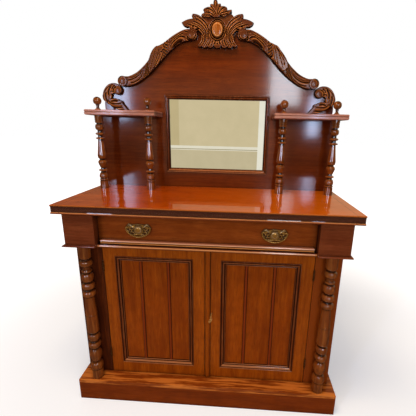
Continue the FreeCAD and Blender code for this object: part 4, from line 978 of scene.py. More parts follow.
FINISH_NODES: dict[Finish, tuple[str, ...]] = {
    Finish.WORKTOP: ("worktop",),
    Finish.PLINTH: ("plinth_front", "plinth_frame"),
    Finish.LEDGE: ("floor_board",),
    Finish.GABLE: ("gable_left", "gable_right", "front_stile_left", "front_stile_right"),
    Finish.EDGE: ("drawer_rail", "drawer_front_moulding"),
    Finish.DRAWER: ("drawer_front",),
    Finish.BLOCK: ("frieze_block_left", "frieze_block_right"),
    Finish.BACKBOARD: ("back_stile_left", "back_stile_right", "back_low_rail", "pediment_board"),
    Finish.SHELF: ("gallery_shelf_left", "gallery_shelf_right"),
    Finish.DOOR_STILE: ("door_left_frame", "door_right_frame", "meeting_bead"),
    Finish.DOOR_PANEL: ("door_left_panel", "door_right_panel"),
    Finish.MOULDING: ("door_left_moulding", "door_right_moulding", "mirror_frame"),
    Finish.PINE: ("mirror_backing", "back_boards", "drawer_framing", "cupboard_shelf",
                  "shelf_battens", "drawer_sides_back", "drawer_bottom"),
    Finish.TURNED: ("base_column_left", "base_column_right"),
    Finish.SPINDLE: ("colonnette_inner_left", "colonnette_inner_right", "colonnette_outer_left",
                     "colonnette_outer_right", "shelf_finials"),
    Finish.CARVED: ("crest_cartouche", "pediment_scrolls", "corner_scrolls"),
    Finish.STONE: ("crest_cabochon",),
    Finish.MIRROR: ("mirror_glass",),
    Finish.BRASS: ("lock_case", "door_bolt_plates", "handle_plates", "bail_left", "bail_right"),
    Finish.KEY: ("key",),
    Finish.HINGE: ("hinge_case_leaves", "hinge_leaves_left", "hinge_leaves_right"),
    Finish.STEEL: ("lock_bolt", "door_bolt_top", "door_bolt_bottom"),
}


def finish_boards(finishes: Mapping[Finish, bpy.types.Material]) -> None:
    """Gives every CAD node its material.

    Args:
        finishes: the materials by finish.
    """
    chosen = {name: finishes[finish] for finish, names in FINISH_NODES.items() for name in names}
    for name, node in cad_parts.items():
        for place in node.material_slots:
            place.material = chosen[name]


# ------------------------------------------------------------------------- turnings
Members = Sequence[tuple[float, float, float]]

# Each member of a turning is (height share of its top, radius share there, swell).
COLUMN_MEMBERS: Members = (
    (0.062, 0.90, 0.0), (0.068, 0.82, 0.0), (0.076, 0.82, 0.0), (0.128, 0.68, 0.24),
    (0.138, 0.60, 0.0), (0.185, 0.96, 0.07), (0.232, 0.60, 0.12), (0.243, 0.58, 0.0),
    (0.288, 0.62, 0.36), (0.302, 0.60, -0.03), (0.354, 0.66, 0.31), (0.362, 0.66, 0.0),
    (0.376, 0.92, 0.05), (0.496, 0.87, 0.01), (0.500, 0.87, -0.04), (0.508, 0.87, 0.03),
    (0.628, 0.66, 0.0), (0.636, 0.62, 0.0), (0.676, 0.62, 0.36), (0.690, 0.60, -0.04),
    (0.732, 0.60, 0.37), (0.742, 0.58, 0.0), (0.800, 0.60, 0.32), (0.808, 0.58, 0.0),
    (0.824, 0.58, 0.18), (0.850, 0.58, -0.03), (0.890, 0.62, 0.34), (0.900, 0.62, 0.0),
    (0.910, 0.84, 0.03), (0.918, 0.87, 0.0), (1.000, 0.87, 0.0),
)
COLONNETTE_MEMBERS: Members = (
    (0.100, 0.95, 0.0), (0.105, 0.82, 0.0), (0.111, 0.82, 0.0), (0.134, 0.82, 0.15),
    (0.143, 0.80, -0.06), (0.222, 0.56, 0.28), (0.240, 0.54, 0.0), (0.268, 0.54, 0.46),
    (0.285, 0.50, 0.0), (0.362, 0.98, 0.06), (0.402, 0.60, 0.14), (0.412, 0.60, 0.0),
    (0.426, 0.88, 0.05), (0.465, 0.98, 0.03), (0.570, 0.77, 0.0), (0.674, 0.58, 0.0),
    (0.682, 0.56, 0.0), (0.708, 0.56, 0.44), (0.740, 0.54, -0.03), (0.772, 0.56, 0.43),
    (0.806, 0.54, -0.03), (0.884, 0.60, 0.39), (0.896, 0.60, 0.0), (0.906, 0.88, 0.03),
    (0.930, 0.91, 0.0), (0.937, 0.91, -0.07), (0.958, 0.93, 0.0), (0.965, 0.93, -0.07),
    (1.000, 0.95, 0.0),
)
FINIAL_MEMBERS: Members = (
    (0.12, 0.74, 0.03), (0.20, 0.62, 0.0), (0.62, 0.36, -0.10), (0.80, 0.34, 0.0),
    (0.88, 0.42, 0.04), (1.00, 0.40, 0.0),
)


def turning_profile(members: Members, start: float, radius: float, foot: float, top: float,
                    steps: int = 9) -> Array:
    """Profile of a turning from its members.

    Along a member the share s runs from 0 to 1 as (1 - cos(pi k / n)) / 2, and the
    radius is r0 + (r1 - r0) s + swell x sqrt(1 - (2 s - 1)^2): a bead where the
    swell is positive, a cove where it is negative.

    Args:
        members: (height share of the top, radius share there, swell share) of each.
        start: radius share at the foot.
        radius: the piece's largest radius, in metres.
        foot: height of the foot.
        top: height of the top.
        steps: samples along one member.

    Returns:
        Rows of (height, radius) in metres.
    """
    share = (1 - np.cos(np.linspace(0, math.pi, steps))) / 2
    rows = []
    low, before = 0.0, start
    for high, after, swell in members:
        bulge = swell * np.sqrt(np.clip(1 - (2 * share - 1) ** 2, 0, 1))
        rows.append(np.stack([foot + (top - foot) * (low + (high - low) * share),
                              radius * (before + (after - before) * share + bulge)], -1))
        low, before = high, after
    return np.vstack(rows)


@dataclass
class Turnings:
    """Base columns, colonnettes and ball finials, turned between centres."""

    column_wood: bpy.types.Material
    gallery_wood: bpy.types.Material
    column_radius: float = 28.0 * MM
    colonnette_radius: float = 20.5 * MM
    ball_radius: float = 18.7 * MM

    def post(self, node: str, members: Members, start: float, radius: float,
             wood: bpy.types.Material) -> None:
        """Turns one post where the CAD has it.

        Args:
            node: the CAD node that it stands for.
            members: its members.
            start: radius share at its foot.
            radius: its radius.
            wood: its finish.
        """
        low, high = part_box(node)
        profile = turning_profile(members, start, radius, low.z, high.z)
        middle = ((low.x + high.x) / 2, (low.y + high.y) / 2)
        piece = lathe(node + "_turned", profile, middle, wood)
        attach(piece, "case")
        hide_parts(node)
        LOG.info("turned %s", node)

    def finials(self) -> None:
        """Turns the four ball finials over the colonnettes.

        The ball's profile is z = middle - R cos a, r = R sin a.
        """
        low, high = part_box("shelf_finials")
        ball = self.ball_radius
        neck = high.z - 2 * ball
        angle = np.linspace(0.40, math.pi - 0.03, 22)
        sphere = np.stack([high.z - ball - ball * np.cos(angle), ball * np.sin(angle)], -1)
        pedestal = turning_profile(FINIAL_MEMBERS, 0.70, ball, low.z, neck + 0.06 * ball)
        profile = np.vstack([pedestal, sphere])
        for index, node in enumerate(("colonnette_outer_left", "colonnette_inner_left",
                                      "colonnette_inner_right", "colonnette_outer_right")):
            near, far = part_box(node)
            middle = ((near.x + far.x) / 2, (near.y + far.y) / 2)
            piece = lathe("finial_%d" % (index + 1), profile, middle, self.gallery_wood, 32)
            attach(piece, "case")
            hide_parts("shelf_finials")
        LOG.info("turned four finials")

    def build(self) -> None:
        """Makes every turned piece."""
        for side in ("left", "right"):
            self.post("base_column_" + side, COLUMN_MEMBERS, 0.90, self.column_radius,
                      self.column_wood)
            for place in ("inner", "outer"):
                self.post("colonnette_%s_%s" % (place, side), COLONNETTE_MEMBERS, 0.97,
                          self.colonnette_radius, self.gallery_wood)
        self.finials()


# -------------------------------------------------------------------------- carving
def scaled(points: Points, width: float, height: float) -> list[tuple[float, float]]:
    """Points given as shares, in millimetres."""
    return [(x * width, z * height) for x, z in points]


CREST_SHARES: Sequence[Points] = (
    ((0.000, 0.000), (0.072, 0.021), (0.108, 0.085), (0.192, 0.000), (0.281, 0.056),
     (0.362, 0.000), (0.440, 0.056), (0.515, 0.035), (0.563, 0.106), (0.485, 0.204),
     (0.452, 0.324), (0.479, 0.472), (0.551, 0.542), (0.617, 0.507), (0.677, 0.592),
     (0.740, 0.560), (0.800, 0.620), (0.905, 0.630), (1.000, 0.746), (0.840, 0.835),
     (0.683, 0.866), (0.712, 0.937), (0.686, 1.000), (0.551, 0.980), (0.443, 0.915),
     (0.407, 0.972), (0.311, 1.000)),
)
# The palmette's outline, in millimetres from the crest's middle and up from the
# palmette's own foot. A real carver's leaves lean, so its sides differ.
PALMETTE_LEAVES: Sequence[Points] = (
    ((-5, -1), (2, -1), (9, 2), (13, 6), (17, 10), (25, 2), (32, 3), (39, 6), (42, 12), (53, 13),
     (61, 20), (65, 25), (64, 32), (54, 31), (43, 29), (44, 37), (36, 44), (26, 46), (15, 43),
     (16, 49), (13, 55), (6, 54), (2, 51), (0, 62), (-3, 71)),
    ((-3, 71), (-16, 71)),
    ((-16, 71), (-19, 60), (-18, 51), (-24, 54), (-33, 53), (-34, 46), (-31, 41), (-40, 43),
     (-49, 41), (-58, 38), (-66, 31), (-62, 25), (-62, 18), (-70, 15), (-75, 8), (-64, 2),
     (-53, 3), (-45, 0), (-38, 0), (-31, 2), (-28, 8), (-18, -1), (-5, -1)),
)
# (curve, width, depth) of each cut of the palmette, drawn as its outline is.
PALMETTE_CUTS: Cuts = (
    (((-7, 8), (-12, 22), (-28, 42), (-31, 48)), 3.6, 5.0),
    (((-10, 7), (-22, 24), (-38, 34), (-56, 34)), 3.6, 5.0),
    (((-14, 5), (-30, 17), (-48, 21), (-58, 20)), 3.4, 4.5),
    (((-17, 3), (-36, 9), (-52, 9), (-68, 9)), 3.4, 4.0),
    (((-3, 8), (2, 26), (8, 42), (11, 50)), 3.6, 5.0),
    (((3, 9), (14, 27), (26, 37), (35, 40)), 3.6, 5.0),
    (((7, 8), (24, 20), (42, 24), (58, 28)), 3.6, 4.5),
    (((11, 7), (28, 11), (42, 16), (54, 19)), 3.2, 4.0),
    (((-14, 40), (-15, 54), (-14, 70)), 3.0, 3.5),
    (((-5, 40), (-5, 54), (-5, 70)), 3.0, 3.5),
    (((-31, 30), (-44, 38), (-52, 38)), 2.6, 3.0),
    (((20, 34), (28, 41), (34, 42)), 2.6, 3.0),
)
# The shield's cuts on the right-hand side: the C-shaped rims that sweep from the lobes
# up into the side leaf, the notches of the leaf, then the flutes of the lobes.
SHIELD_CUTS: Cuts = (
    (((44, 30), (41, 54), (42, 77), (48, 95), (62, 112), (83, 126), (106, 135)), 4.2, 5.5),
    (((50, 28), (47, 49), (47, 68), (54, 86), (69, 103), (89, 118), (112, 127)), 3.4, 4.5),
    (((59, 20), (54, 40), (53, 61), (60, 78), (75, 93), (96, 106), (122, 113)), 4.2, 5.5),
    (((65, 22), (58, 38), (57, 58), (64, 73), (79, 88), (100, 98), (130, 106)), 3.0, 4.0),
    (((72, 15), (62, 33), (61, 52), (69, 67), (85, 82), (104, 91), (126, 97), (152, 101)),
     4.2, 5.5),
    (((80, 13), (72, 26), (67, 45), (73, 59), (84, 71)), 4.0, 5.0),
    (((86, 80), (96, 80), (103, 76)), 6.0, 9.0),
    (((108, 95), (114, 90), (118, 86)), 5.0, 8.0),
    (((92, 112), (100, 121), (108, 138)), 2.8, 3.0),
    (((17, 14), (11, 25), (8, 36)), 4.2, 5.5),
    (((45, 10), (36, 24), (32, 38)), 4.2, 5.5),
    (((71, 13), (59, 29), (52, 44)), 4.2, 5.5),
    (((32, 5), (25, 20), (22, 34)), 2.8, 3.5),
    (((58, 4), (46, 22), (40, 34)), 2.8, 3.5),
    (((66, 6), (53, 24), (46, 36)), 2.8, 3.5),
    (((85, 14), (76, 20), (68, 32)), 2.8, 3.5),
    (((8, 34), (10, 24), (7, 15)), 2.6, 2.5),
)


@dataclass
class Crest:
    """The cartouche: side leaves, fluted lower lobes, rimmed cabochon and palmette.

    Drawn in millimetres from the middle of its foot.
    """

    carved: bpy.types.Material
    polished: bpy.types.Material
    width: float = 334.0
    height: float = 142.0
    lap: float = 125.0
    thick: float = 20.0
    palmette_proud: float = 10.0
    ring_rise: float = 75.0
    ring_half: tuple[float, float] = (36.0, 43.0)
    cell: float = 1.3

    def both(self, relief: Relief, points: Points, width: float, deep: float,
             taper: float = 0.25) -> None:
        """Cuts the same groove on the right and on the left.

        Args:
            relief: the carving.
            points: the right-hand curve.
            width: the groove's width.
            deep: its depth.
            taper: share of each end that runs out.
        """
        relief.gouge(points, width, deep, taper)
        relief.gouge([(-x, z) for x, z in points], width, deep, taper)

    def shield(self) -> Relief:
        """Carves the shield with its leaves, lobes and rings."""
        pieces = [scaled(chain, self.width / 2, self.height) for chain in CREST_SHARES]
        shoulder = pieces[-1][-1]
        pieces.append([shoulder, (0.0, shoulder[1])])
        relief = Relief(outline_of(mirrored_outline(pieces)), self.cell, self.thick, edge=4.0)
        for points, width, deep in SHIELD_CUTS:
            self.both(relief, points, width, deep)
        relief.change(lambda x, z: -5.0 * np.exp(-((x ** 2 + (z - 19) ** 2) / 9.0) ** 2))

        def rims(x: Array, z: Array) -> Array:
            """A ring between two grooves: ovals at shares of the outer one's half sizes."""
            wide, high = self.ring_half
            across = np.sqrt((x / wide) ** 2 + ((z - self.ring_rise) / high) ** 2)
            return sum(rise * np.exp(-((across - share) / 0.05) ** 2)
                       for share, rise in ((1.0, -5.0), (0.92, 3.5), (0.82, -5.0)))

        relief.change(rims)
        return relief

    def palmette(self) -> Relief:
        """Carves the palmette: a middle leaf and side leaves, fanned from its foot."""
        pieces = [[(x, self.lap + z) for x, z in chain] for chain in PALMETTE_LEAVES]
        relief = Relief(outline_of(pieces), 1.0, self.thick + self.palmette_proud - 4, edge=4.0)
        relief.swell((-5, self.lap + 26), (34, 40), 5.0)
        for points, width, deep in PALMETTE_CUTS:
            relief.gouge([(x, self.lap + z) for x, z in points], width, deep, 0.2)
        return relief

    def cabochon(self) -> bpy.types.Object:
        """Oval polished stone with a nearly flat face and a rounded edge.

        The surface is x = a q cos v, z = b q sin v and a height of
        c sqrt(1 - q^4), with q from 0 at the middle to 1 at the rim.
        """
        low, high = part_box("crest_cabochon")
        half = np.array([(high.x - low.x) / 2, (high.z - low.z) / 2])
        rings, sides = 26, 56
        q = np.sin(np.linspace(0.02, math.pi / 2, rings))[:, None]
        v = np.linspace(0, 2 * math.pi, sides, endpoint=False)[None, :]
        points = np.stack([(low.x + high.x) / 2 + half[0] * q * np.cos(v),
                           high.y - (high.y - low.y) * np.sqrt(1 - q ** 4) + 0 * v,
                           (low.z + high.z) / 2 + half[1] * q * np.sin(v)], -1)
        # Painted highlight: a pale ring just inside the rim, brightest towards the lower right.
        # Painted shade: the outer edge darkened, most at the bottom.
        rim = np.exp(-((q - 0.74) / 0.05) ** 2) * (0.75 + 0.25 * np.cos(v + 0.8))
        edge = np.clip((q - 0.84) / 0.12, 0, 1) * (0.55 + 0.45 * np.sin(-v))
        return mesh_piece("cabochon_dome", points.reshape(-1, 3), tube_faces(rings, sides),
                          self.polished, tone=rim - edge)

    def build(self) -> None:
        """Makes the crest's pieces where the CAD has them."""
        low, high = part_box("crest_cartouche")
        place = on_board(high.y, low.z / MM)
        shield = self.shield().piece("crest_shield", place, self.carved)
        palmette = self.palmette().piece("crest_palmette", place, self.carved)
        for piece in (shield, palmette):
            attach(piece, "case")
            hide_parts("crest_cartouche")
        dome = self.cabochon()
        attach(dome, "case")
        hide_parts("crest_cabochon")
        LOG.info("carved the crest")


# The scroll rail's edges and volute middles, as shares of the back's half width and
# of its rise over the gallery shelves.
RAIL_TOP: Points = (
    (0.197, 0.895), (0.247, 0.893), (0.294, 0.871), (0.355, 0.824), (0.435, 0.748),
    (0.475, 0.717), (0.517, 0.655), (0.545, 0.600), (0.559, 0.567), (0.599, 0.507),
    (0.657, 0.440), (0.719, 0.400), (0.763, 0.395))
RAIL_UNDER: Points = (
    (0.197, 0.781), (0.268, 0.760), (0.328, 0.717), (0.411, 0.617), (0.464, 0.536),
    (0.520, 0.457), (0.565, 0.402), (0.625, 0.343), (0.676, 0.307), (0.726, 0.283),
    (0.766, 0.285))
RAIL_VOLUTES: Points = ((0.197, 0.838), (0.774, 0.340))
CORNER_SHARES: Sequence[Points] = (
    ((1.000, 0.000), (0.905, 0.125), (0.767, 0.286), (0.740, 0.375), (0.647, 0.406),
     (0.500, 0.465), (0.330, 0.450), (0.378, 0.525), (0.355, 0.590), (0.415, 0.628),
     (0.489, 0.632), (0.609, 0.588), (0.730, 0.650), (0.768, 0.780), (0.712, 0.912),
     (0.602, 0.975), (0.474, 1.000), (0.323, 0.977), (0.203, 0.910), (0.090, 0.782),
     (0.023, 0.624), (0.002, 0.520), (0.038, 0.391), (0.160, 0.284), (0.323, 0.180),
     (0.560, 0.070), (0.835, 0.000)),
    ((0.835, 0.000), (1.000, 0.000)),
)
# Cuts of the corner scroll, in millimetres inwards from its outer edge and up.
CORNER_CUTS: Cuts = (
    (((69, 126), (45, 121), (22, 104), (8, 80), (8, 58), (16, 44)), 3.2, 3.5),
    (((78, 116), (64, 110), (58, 99), (61, 88)), 5.0, 8.0),
    (((68, 122), (56, 114), (50, 102)), 6.0, 6.5),
    (((48, 120), (37, 106), (32, 90), (33, 74)), 7.5, 8.0),
    (((22, 92), (16, 74), (20, 54), (30, 42)), 7.0, 5.5),
    (((62, 92), (48, 95), (42, 90)), 4.0, 6.0),
    (((64, 82), (54, 79), (50, 66), (48, 56)), 6.5, 9.0),
    (((42, 84), (34, 72), (36, 58)), 3.4, -3.0),
    (((76, 47), (58, 50), (40, 46)), 5.0, 7.0),
    (((84, 54), (66, 58), (50, 53)), 3.4, -3.0),
    (((100, 42), (78, 37), (54, 37), (35, 45), (25, 57)), 3.4, 5.0),
    (((101, 28), (64, 26), (37, 34), (22, 48)), 4.0, -3.5),
    (((104, 20), (60, 18), (30, 32), (17, 50)), 4.0, 6.5),
    (((110, 10), (84, 8), (60, 8)), 3.4, 4.0),
)


# Cuts of the scroll rails as (curve in shares of the length and the width, width and
# depth in millimetres); a negative depth is a ridge. First what both rails have: the
# hooks by the volutes, the hollow with its rim, and the fine lines beside it.
RAIL_CUTS: Cuts = (
    (((0.045, 0.50), (0.060, 0.67), (0.052, 0.83), (0.022, 0.98)), 5.0, 8.0),
    (((0.012, 0.16), (0.050, 0.24), (0.105, 0.18)), 3.6, 4.5),
    (((0.066, 0.88), (0.092, 0.63), (0.150, 0.44), (0.205, 0.46), (0.245, 0.54), (0.266, 0.74)),
     4.0, 5.5),
    (((0.088, 0.93), (0.116, 0.70), (0.168, 0.57), (0.212, 0.61), (0.242, 0.72), (0.258, 0.92)),
     4.5, -3.0),
    (((0.112, 0.90), (0.162, 0.80), (0.208, 0.82), (0.244, 0.93)), 11.0, 9.5),
    (((0.10, 1.00), (0.17, 0.995), (0.25, 1.00)), 4.0, -5.0),
    (((0.105, 0.30), (0.200, 0.31), (0.250, 0.33), (0.280, 0.42)), 3.2, 4.5),
    (((0.130, 0.12), (0.208, 0.16), (0.270, 0.22)), 3.0, 4.0),
)
RAIL_CUTS_RIGHT: Cuts = (
    (((0.300, 0.95), (0.320, 0.86), (0.344, 0.66)), 5.0, 9.0),
    (((0.337, 0.20), (0.352, 0.50), (0.364, 0.78), (0.376, 1.00)), 3.6, 5.5),
    (((0.345, 0.06), (0.375, 0.37), (0.410, 0.65), (0.436, 0.96)), 4.2, 6.5),
    (((0.366, 0.05), (0.428, 0.26), (0.470, 0.47), (0.512, 0.76)), 4.2, 6.5),
    (((0.395, 0.08), (0.458, 0.22), (0.512, 0.32), (0.556, 0.50)), 4.0, 6.0),
    (((0.520, 0.40), (0.530, 0.50)), 7.0, 9.0),
    (((0.392, 0.84), (0.388, 1.00)), 5.0, 8.0),
    (((0.360, 0.30), (0.392, 0.55), (0.420, 0.86)), 3.6, -3.0),
    (((0.690, 0.36), (0.684, 0.70), (0.712, 0.88)), 3.2, 5.0),
    (((0.680, 0.30), (0.670, 0.74), (0.697, 0.95)), 4.0, -3.0),
    (((0.690, 0.10), (0.760, 0.17), (0.850, 0.09)), 3.4, 4.0),
    (((0.695, 0.27), (0.758, 0.36), (0.828, 0.30), (0.888, 0.23), (0.935, 0.15)), 7.0, -3.0),
    (((0.692, 0.50), (0.745, 0.62), (0.820, 0.58), (0.900, 0.44), (0.955, 0.34)), 4.6, 7.0),
    (((0.705, 0.80), (0.775, 0.88), (0.835, 0.82), (0.900, 0.74)), 4.2, 5.5),
    (((0.935, 0.10), (0.975, 0.32), (0.966, 0.52)), 4.8, 8.0),
)
RAIL_CUTS_LEFT: Cuts = (
    (((0.415, 0.12), (0.448, 0.51), (0.525, 0.93)), 4.2, -4.0),
    (((0.395, 0.16), (0.425, 0.50), (0.495, 0.88)), 4.0, 6.0),
    (((0.436, 0.05), (0.475, 0.36), (0.522, 0.63), (0.560, 0.90)), 4.2, 6.5),
    (((0.480, 0.02), (0.535, 0.22), (0.585, 0.56)), 4.2, 6.0),
    (((0.372, 0.30), (0.392, 0.58), (0.440, 0.80), (0.500, 0.97)), 4.0, 6.0),
    (((0.356, 0.42), (0.366, 0.50)), 7.0, 9.0),
    (((0.338, 0.58), (0.352, 0.76), (0.392, 0.93), (0.450, 1.00)), 4.0, 7.0),
    (((0.700, 0.20), (0.715, 0.55), (0.700, 0.86)), 3.4, 5.0),
    (((0.730, 0.08), (0.785, 0.16), (0.840, 0.18), (0.905, 0.20)), 6.0, -3.0),
    (((0.735, 0.30), (0.790, 0.44), (0.875, 0.43), (0.940, 0.34)), 4.6, 7.0),
    (((0.715, 0.66), (0.745, 0.78), (0.825, 0.78), (0.890, 0.70)), 4.2, 5.5),
    (((0.940, 0.10), (0.972, 0.28), (0.960, 0.46)), 4.8, 8.0),
)
# The raised leaf's two ends and the bands of scales, as (share across, share along):
# where the leaf starts and stops, and where each band does.
LEAF_RIGHT: tuple[Points, Points] = (
    ((0.0, 0.322), (0.4, 0.330), (0.65, 0.344), (1.0, 0.332)),
    ((0.0, 0.590), (0.30, 0.612), (0.45, 0.600), (0.60, 0.570), (0.71, 0.556), (0.96, 0.488),
     (1.0, 0.470)))
LEAF_LEFT: tuple[Points, Points] = (
    ((0.0, 0.395), (0.15, 0.330), (0.35, 0.322), (0.46, 0.362), (0.60, 0.336), (0.75, 0.350),
     (1.0, 0.440)),
    ((0.0, 0.610), (0.25, 0.612), (0.55, 0.590), (1.0, 0.560)))


@dataclass
class ScrollWork:
    """The two S-shaped scroll rails and the two corner scrolls on the gallery back."""

    carved: bpy.types.Material
    board_front: float
    shelf_top: float
    half_width: float = 598.0
    rise: float = 416.0
    thick: float = 20.0
    volute_proud: float = 5.0
    volute_radius: float = 24.0
    corner_size: float = 133.0
    corner_outer: float = 573.0
    rail_length: float = 410.0
    rail_width: float = 48.0
    scale_size: float = 9.0
    along: int = 440
    across: int = 52

    def place(self, side: int) -> Place:
        """Places a right-hand drawing on one side of the back."""
        def put(x: Array, z: Array, height: Array) -> Array:
            """A point of the drawing over the gallery shelf."""
            return np.stack([side * x * MM, self.board_front - height * MM,
                             self.shelf_top + z * MM], -1)
        return put

    @staticmethod
    def between(s: Array, low: Array | float, high: Array | float, soft: float) -> Array:
        """1 from low to high and 0 elsewhere, each end run out over a short share."""
        return np.clip((s - low) / soft, 0, 1) * np.clip((high - s) / soft, 0, 1)

    def rail_height(self, s: Array, t: Array, side: int) -> Array:
        """Carved height of one rail.

        The face is a shallow arch with rounded edges. A leaf is raised on its
        middle, with a band of scales at each end of the leaf: their height is
        |sin a sin b| of two slanting waves 9 mm long. Every cut is then
        deep x exp(-(distance / half width)^2), run out over a fifth of each end.

        Args:
            s: share of the length, from the upper volute to the lower one.
            t: share of the width, from the upper edge to the lower.
            side: 1 for the right-hand rail, -1 for the left-hand one.

        Returns:
            The height in millimetres.
        """
        edge = np.clip(np.minimum(t, 1 - t) / 0.12, 0, 1)
        height = self.thick * (0.66 + 0.14 * np.sqrt(1 - (1 - edge) ** 2))
        height += 1.5 * np.sin(math.pi * t)
        start, end = (np.interp(t, *np.array(points).T)
                      for points in (LEAF_RIGHT if side > 0 else LEAF_LEFT))
        leaf = self.between(s, start, end, 0.006)
        height += leaf * (2.2 + 2.2 * np.sin(math.pi * t))
        u, v = s * self.rail_length, t * self.rail_width
        slant = math.pi / self.scale_size
        scales = np.abs(np.sin((u + v * 0.9) * slant) * np.sin((u - v * 0.9) * slant))
        for low, high in ((0.282, np.minimum(start, 0.335)), (np.maximum(end, 0.57), 0.672)):
            height += (1 - leaf) * self.between(s, low, high, 0.004) * (4.5 * scales - 3.5)
        flat = np.stack([u.ravel(), v.ravel()], -1)
        size = (self.rail_length, self.rail_width)
        for points, width, deep in (*RAIL_CUTS, *(RAIL_CUTS_RIGHT if side > 0 else RAIL_CUTS_LEFT)):
            away, share = path_distance(flat, smooth_path(scaled(points, *size), 20))
            ends = np.clip(np.minimum(share, 1 - share) / 0.2, 0, 1)
            height -= (deep * ends * np.exp(-(away / (width / 2)) ** 2)).reshape(s.shape)
        return np.clip(height, 3.0, self.thick)

    def rail(self, side: int) -> bpy.types.Object:
        """Rail between its two drawn edges.

        A point is top(s) + t (under(s) - top(s)), at the carved height; the back
        is flat. The leaf bulges a little over the upper edge.

        Args:
            side: 1 for the right-hand rail, -1 for the left-hand one.

        Returns:
            The closed piece.
        """
        top = smooth_path(RAIL_TOP, self.along) * (self.half_width, self.rise)
        under = smooth_path(RAIL_UNDER, self.along) * (self.half_width, self.rise)
        s, t = np.meshgrid(np.linspace(0, 1, self.along), np.linspace(0, 1, self.across),
                           indexing="ij")
        middle, reach, out = (0.38, 0.07, 0.05) if side > 0 else (0.50, 0.085, 0.13)
        bulge = out * np.clip(1 - ((s[:, :1] - middle) / reach) ** 2, 0, None) ** 0.7
        flat = top[:, None, :] + (t + bulge * (t - 1))[..., None] * (under - top)[:, None, :]
        height = self.rail_height(s, t, side)
        # The tone is darkened along the lower edge: painted shade on the rail's underside.
        tone = relief_tone(height, 2.6, 2.4) - 1.5 * np.exp(-((1 - t) / 0.045) ** 2)
        front = np.dstack([flat, height])
        back = np.dstack([flat[:, ::-1], np.zeros_like(height)])
        loop = np.concatenate([front, back], 1).reshape(-1, 3)
        tones = np.concatenate([tone, np.full(tone.shape, BACK_SHADE_TONE)], 1)
        points = self.place(side)(loop[:, 0], loop[:, 1], loop[:, 2])
        return mesh_piece("scroll_rail_" + side_name(side), points,
                          tube_faces(self.along, 2 * self.across), self.carved, 50, tones)

    def volute(self, index: int, side: int) -> bpy.types.Object:
        """Round end of a rail, with a hooked cut that rolls into its eye."""
        share_x, share_z = RAIL_VOLUTES[index]
        middle = np.array([share_x * self.half_width, share_z * self.rise])
        angle = np.linspace(0, 2 * math.pi, 72, endpoint=False)
        circle = middle + self.volute_radius * np.stack([np.cos(angle), np.sin(angle)], -1)
        relief = Relief(circle, 1.0, self.thick + self.volute_proud - 2, edge=4.0)
        turn = np.linspace(0, 0.9 * math.pi, 18)
        begin = -0.5 if index == 0 else 2.1
        shrink = self.volute_radius * (0.98 - 0.36 * turn / math.pi)
        spiral = middle + shrink[:, None] * np.stack([np.cos(begin - turn),
                                                      np.sin(begin - turn)], -1)
        relief.gouge(spiral.tolist(), 3.6, 6.0, 0.15, 40)
        relief.swell(tuple(middle), (15, 15), 2.0)
        name = "volute_%d_%s" % (index + 1, side_name(side))
        return relief.piece(name, self.place(side), self.carved)

    def corner(self, side: int) -> bpy.types.Object:
        """Leafy C-scroll: a gouged back, a disc eye, leaf lobes and a long tail."""
        def drawn(points: Points) -> list[tuple[float, float]]:
            """Points drawn inwards from the outer edge, as distances from the middle."""
            return [(self.corner_outer - x, z) for x, z in points]

        outline = outline_of([drawn(scaled(points, self.corner_size, self.corner_size))
                              for points in CORNER_SHARES])
        relief = Relief(outline, 1.0, self.thick - 5, edge=4.0)
        relief.swell(drawn([(81, 95)])[0], (22, 24), 5.0)
        for points, width, deep in CORNER_CUTS:
            relief.gouge(drawn(points), width, deep, 0.2)
        return relief.piece("corner_scroll_" + side_name(side), self.place(side), self.carved)

    def build(self) -> None:
        """Makes the rails, their volutes and the corner scrolls, on both sides."""
        for side in (1, -1):
            for piece in (self.rail(side), self.volute(0, side), self.volute(1, side)):
                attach(piece, "case")
                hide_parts("pediment_scrolls")
            corner = self.corner(side)
            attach(corner, "case")
            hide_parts("corner_scrolls")
        LOG.info("carved the scroll rails and the corner scrolls")


# ------------------------------------------------------------------------ mouldings
# Cross section of a panel moulding: (inset from its outer edge, height over the panel),
# in millimetres: a small bead, a quirk, a long ovolo, a quirk and an inner fillet.
PANEL_SECTION: Points = (
    (0, 0), (0, 10.6), (0.5, 11.6), (1.6, 12.0), (3.0, 11.9), (4.2, 11.2), (4.8, 10.0), (5.3, 9.2),
    (6.0, 10.2), (8.0, 10.3), (10.5, 9.7), (13.0, 8.5), (15.2, 6.9), (16.8, 5.0), (17.4, 3.6),
    (18.2, 3.3), (18.8, 4.3), (20.4, 4.9), (22.2, 4.5), (23.4, 3.2), (24.0, 1.4), (24.0, 0),
)
FRAME_SECTION: Points = (
    (0, 0), (0, 6.4), (0.8, 7.6), (2.2, 8.0), (3.8, 7.7), (4.6, 6.6), (5.2, 5.9), (6.0, 6.5),
    (8.5, 6.4), (11.0, 5.6), (13.2, 4.3), (14.6, 2.9), (15.3, 2.0), (16.0, 2.3), (17.6, 2.9),
    (18.9, 2.4), (19.5, 1.0), (19.5, 0),
)


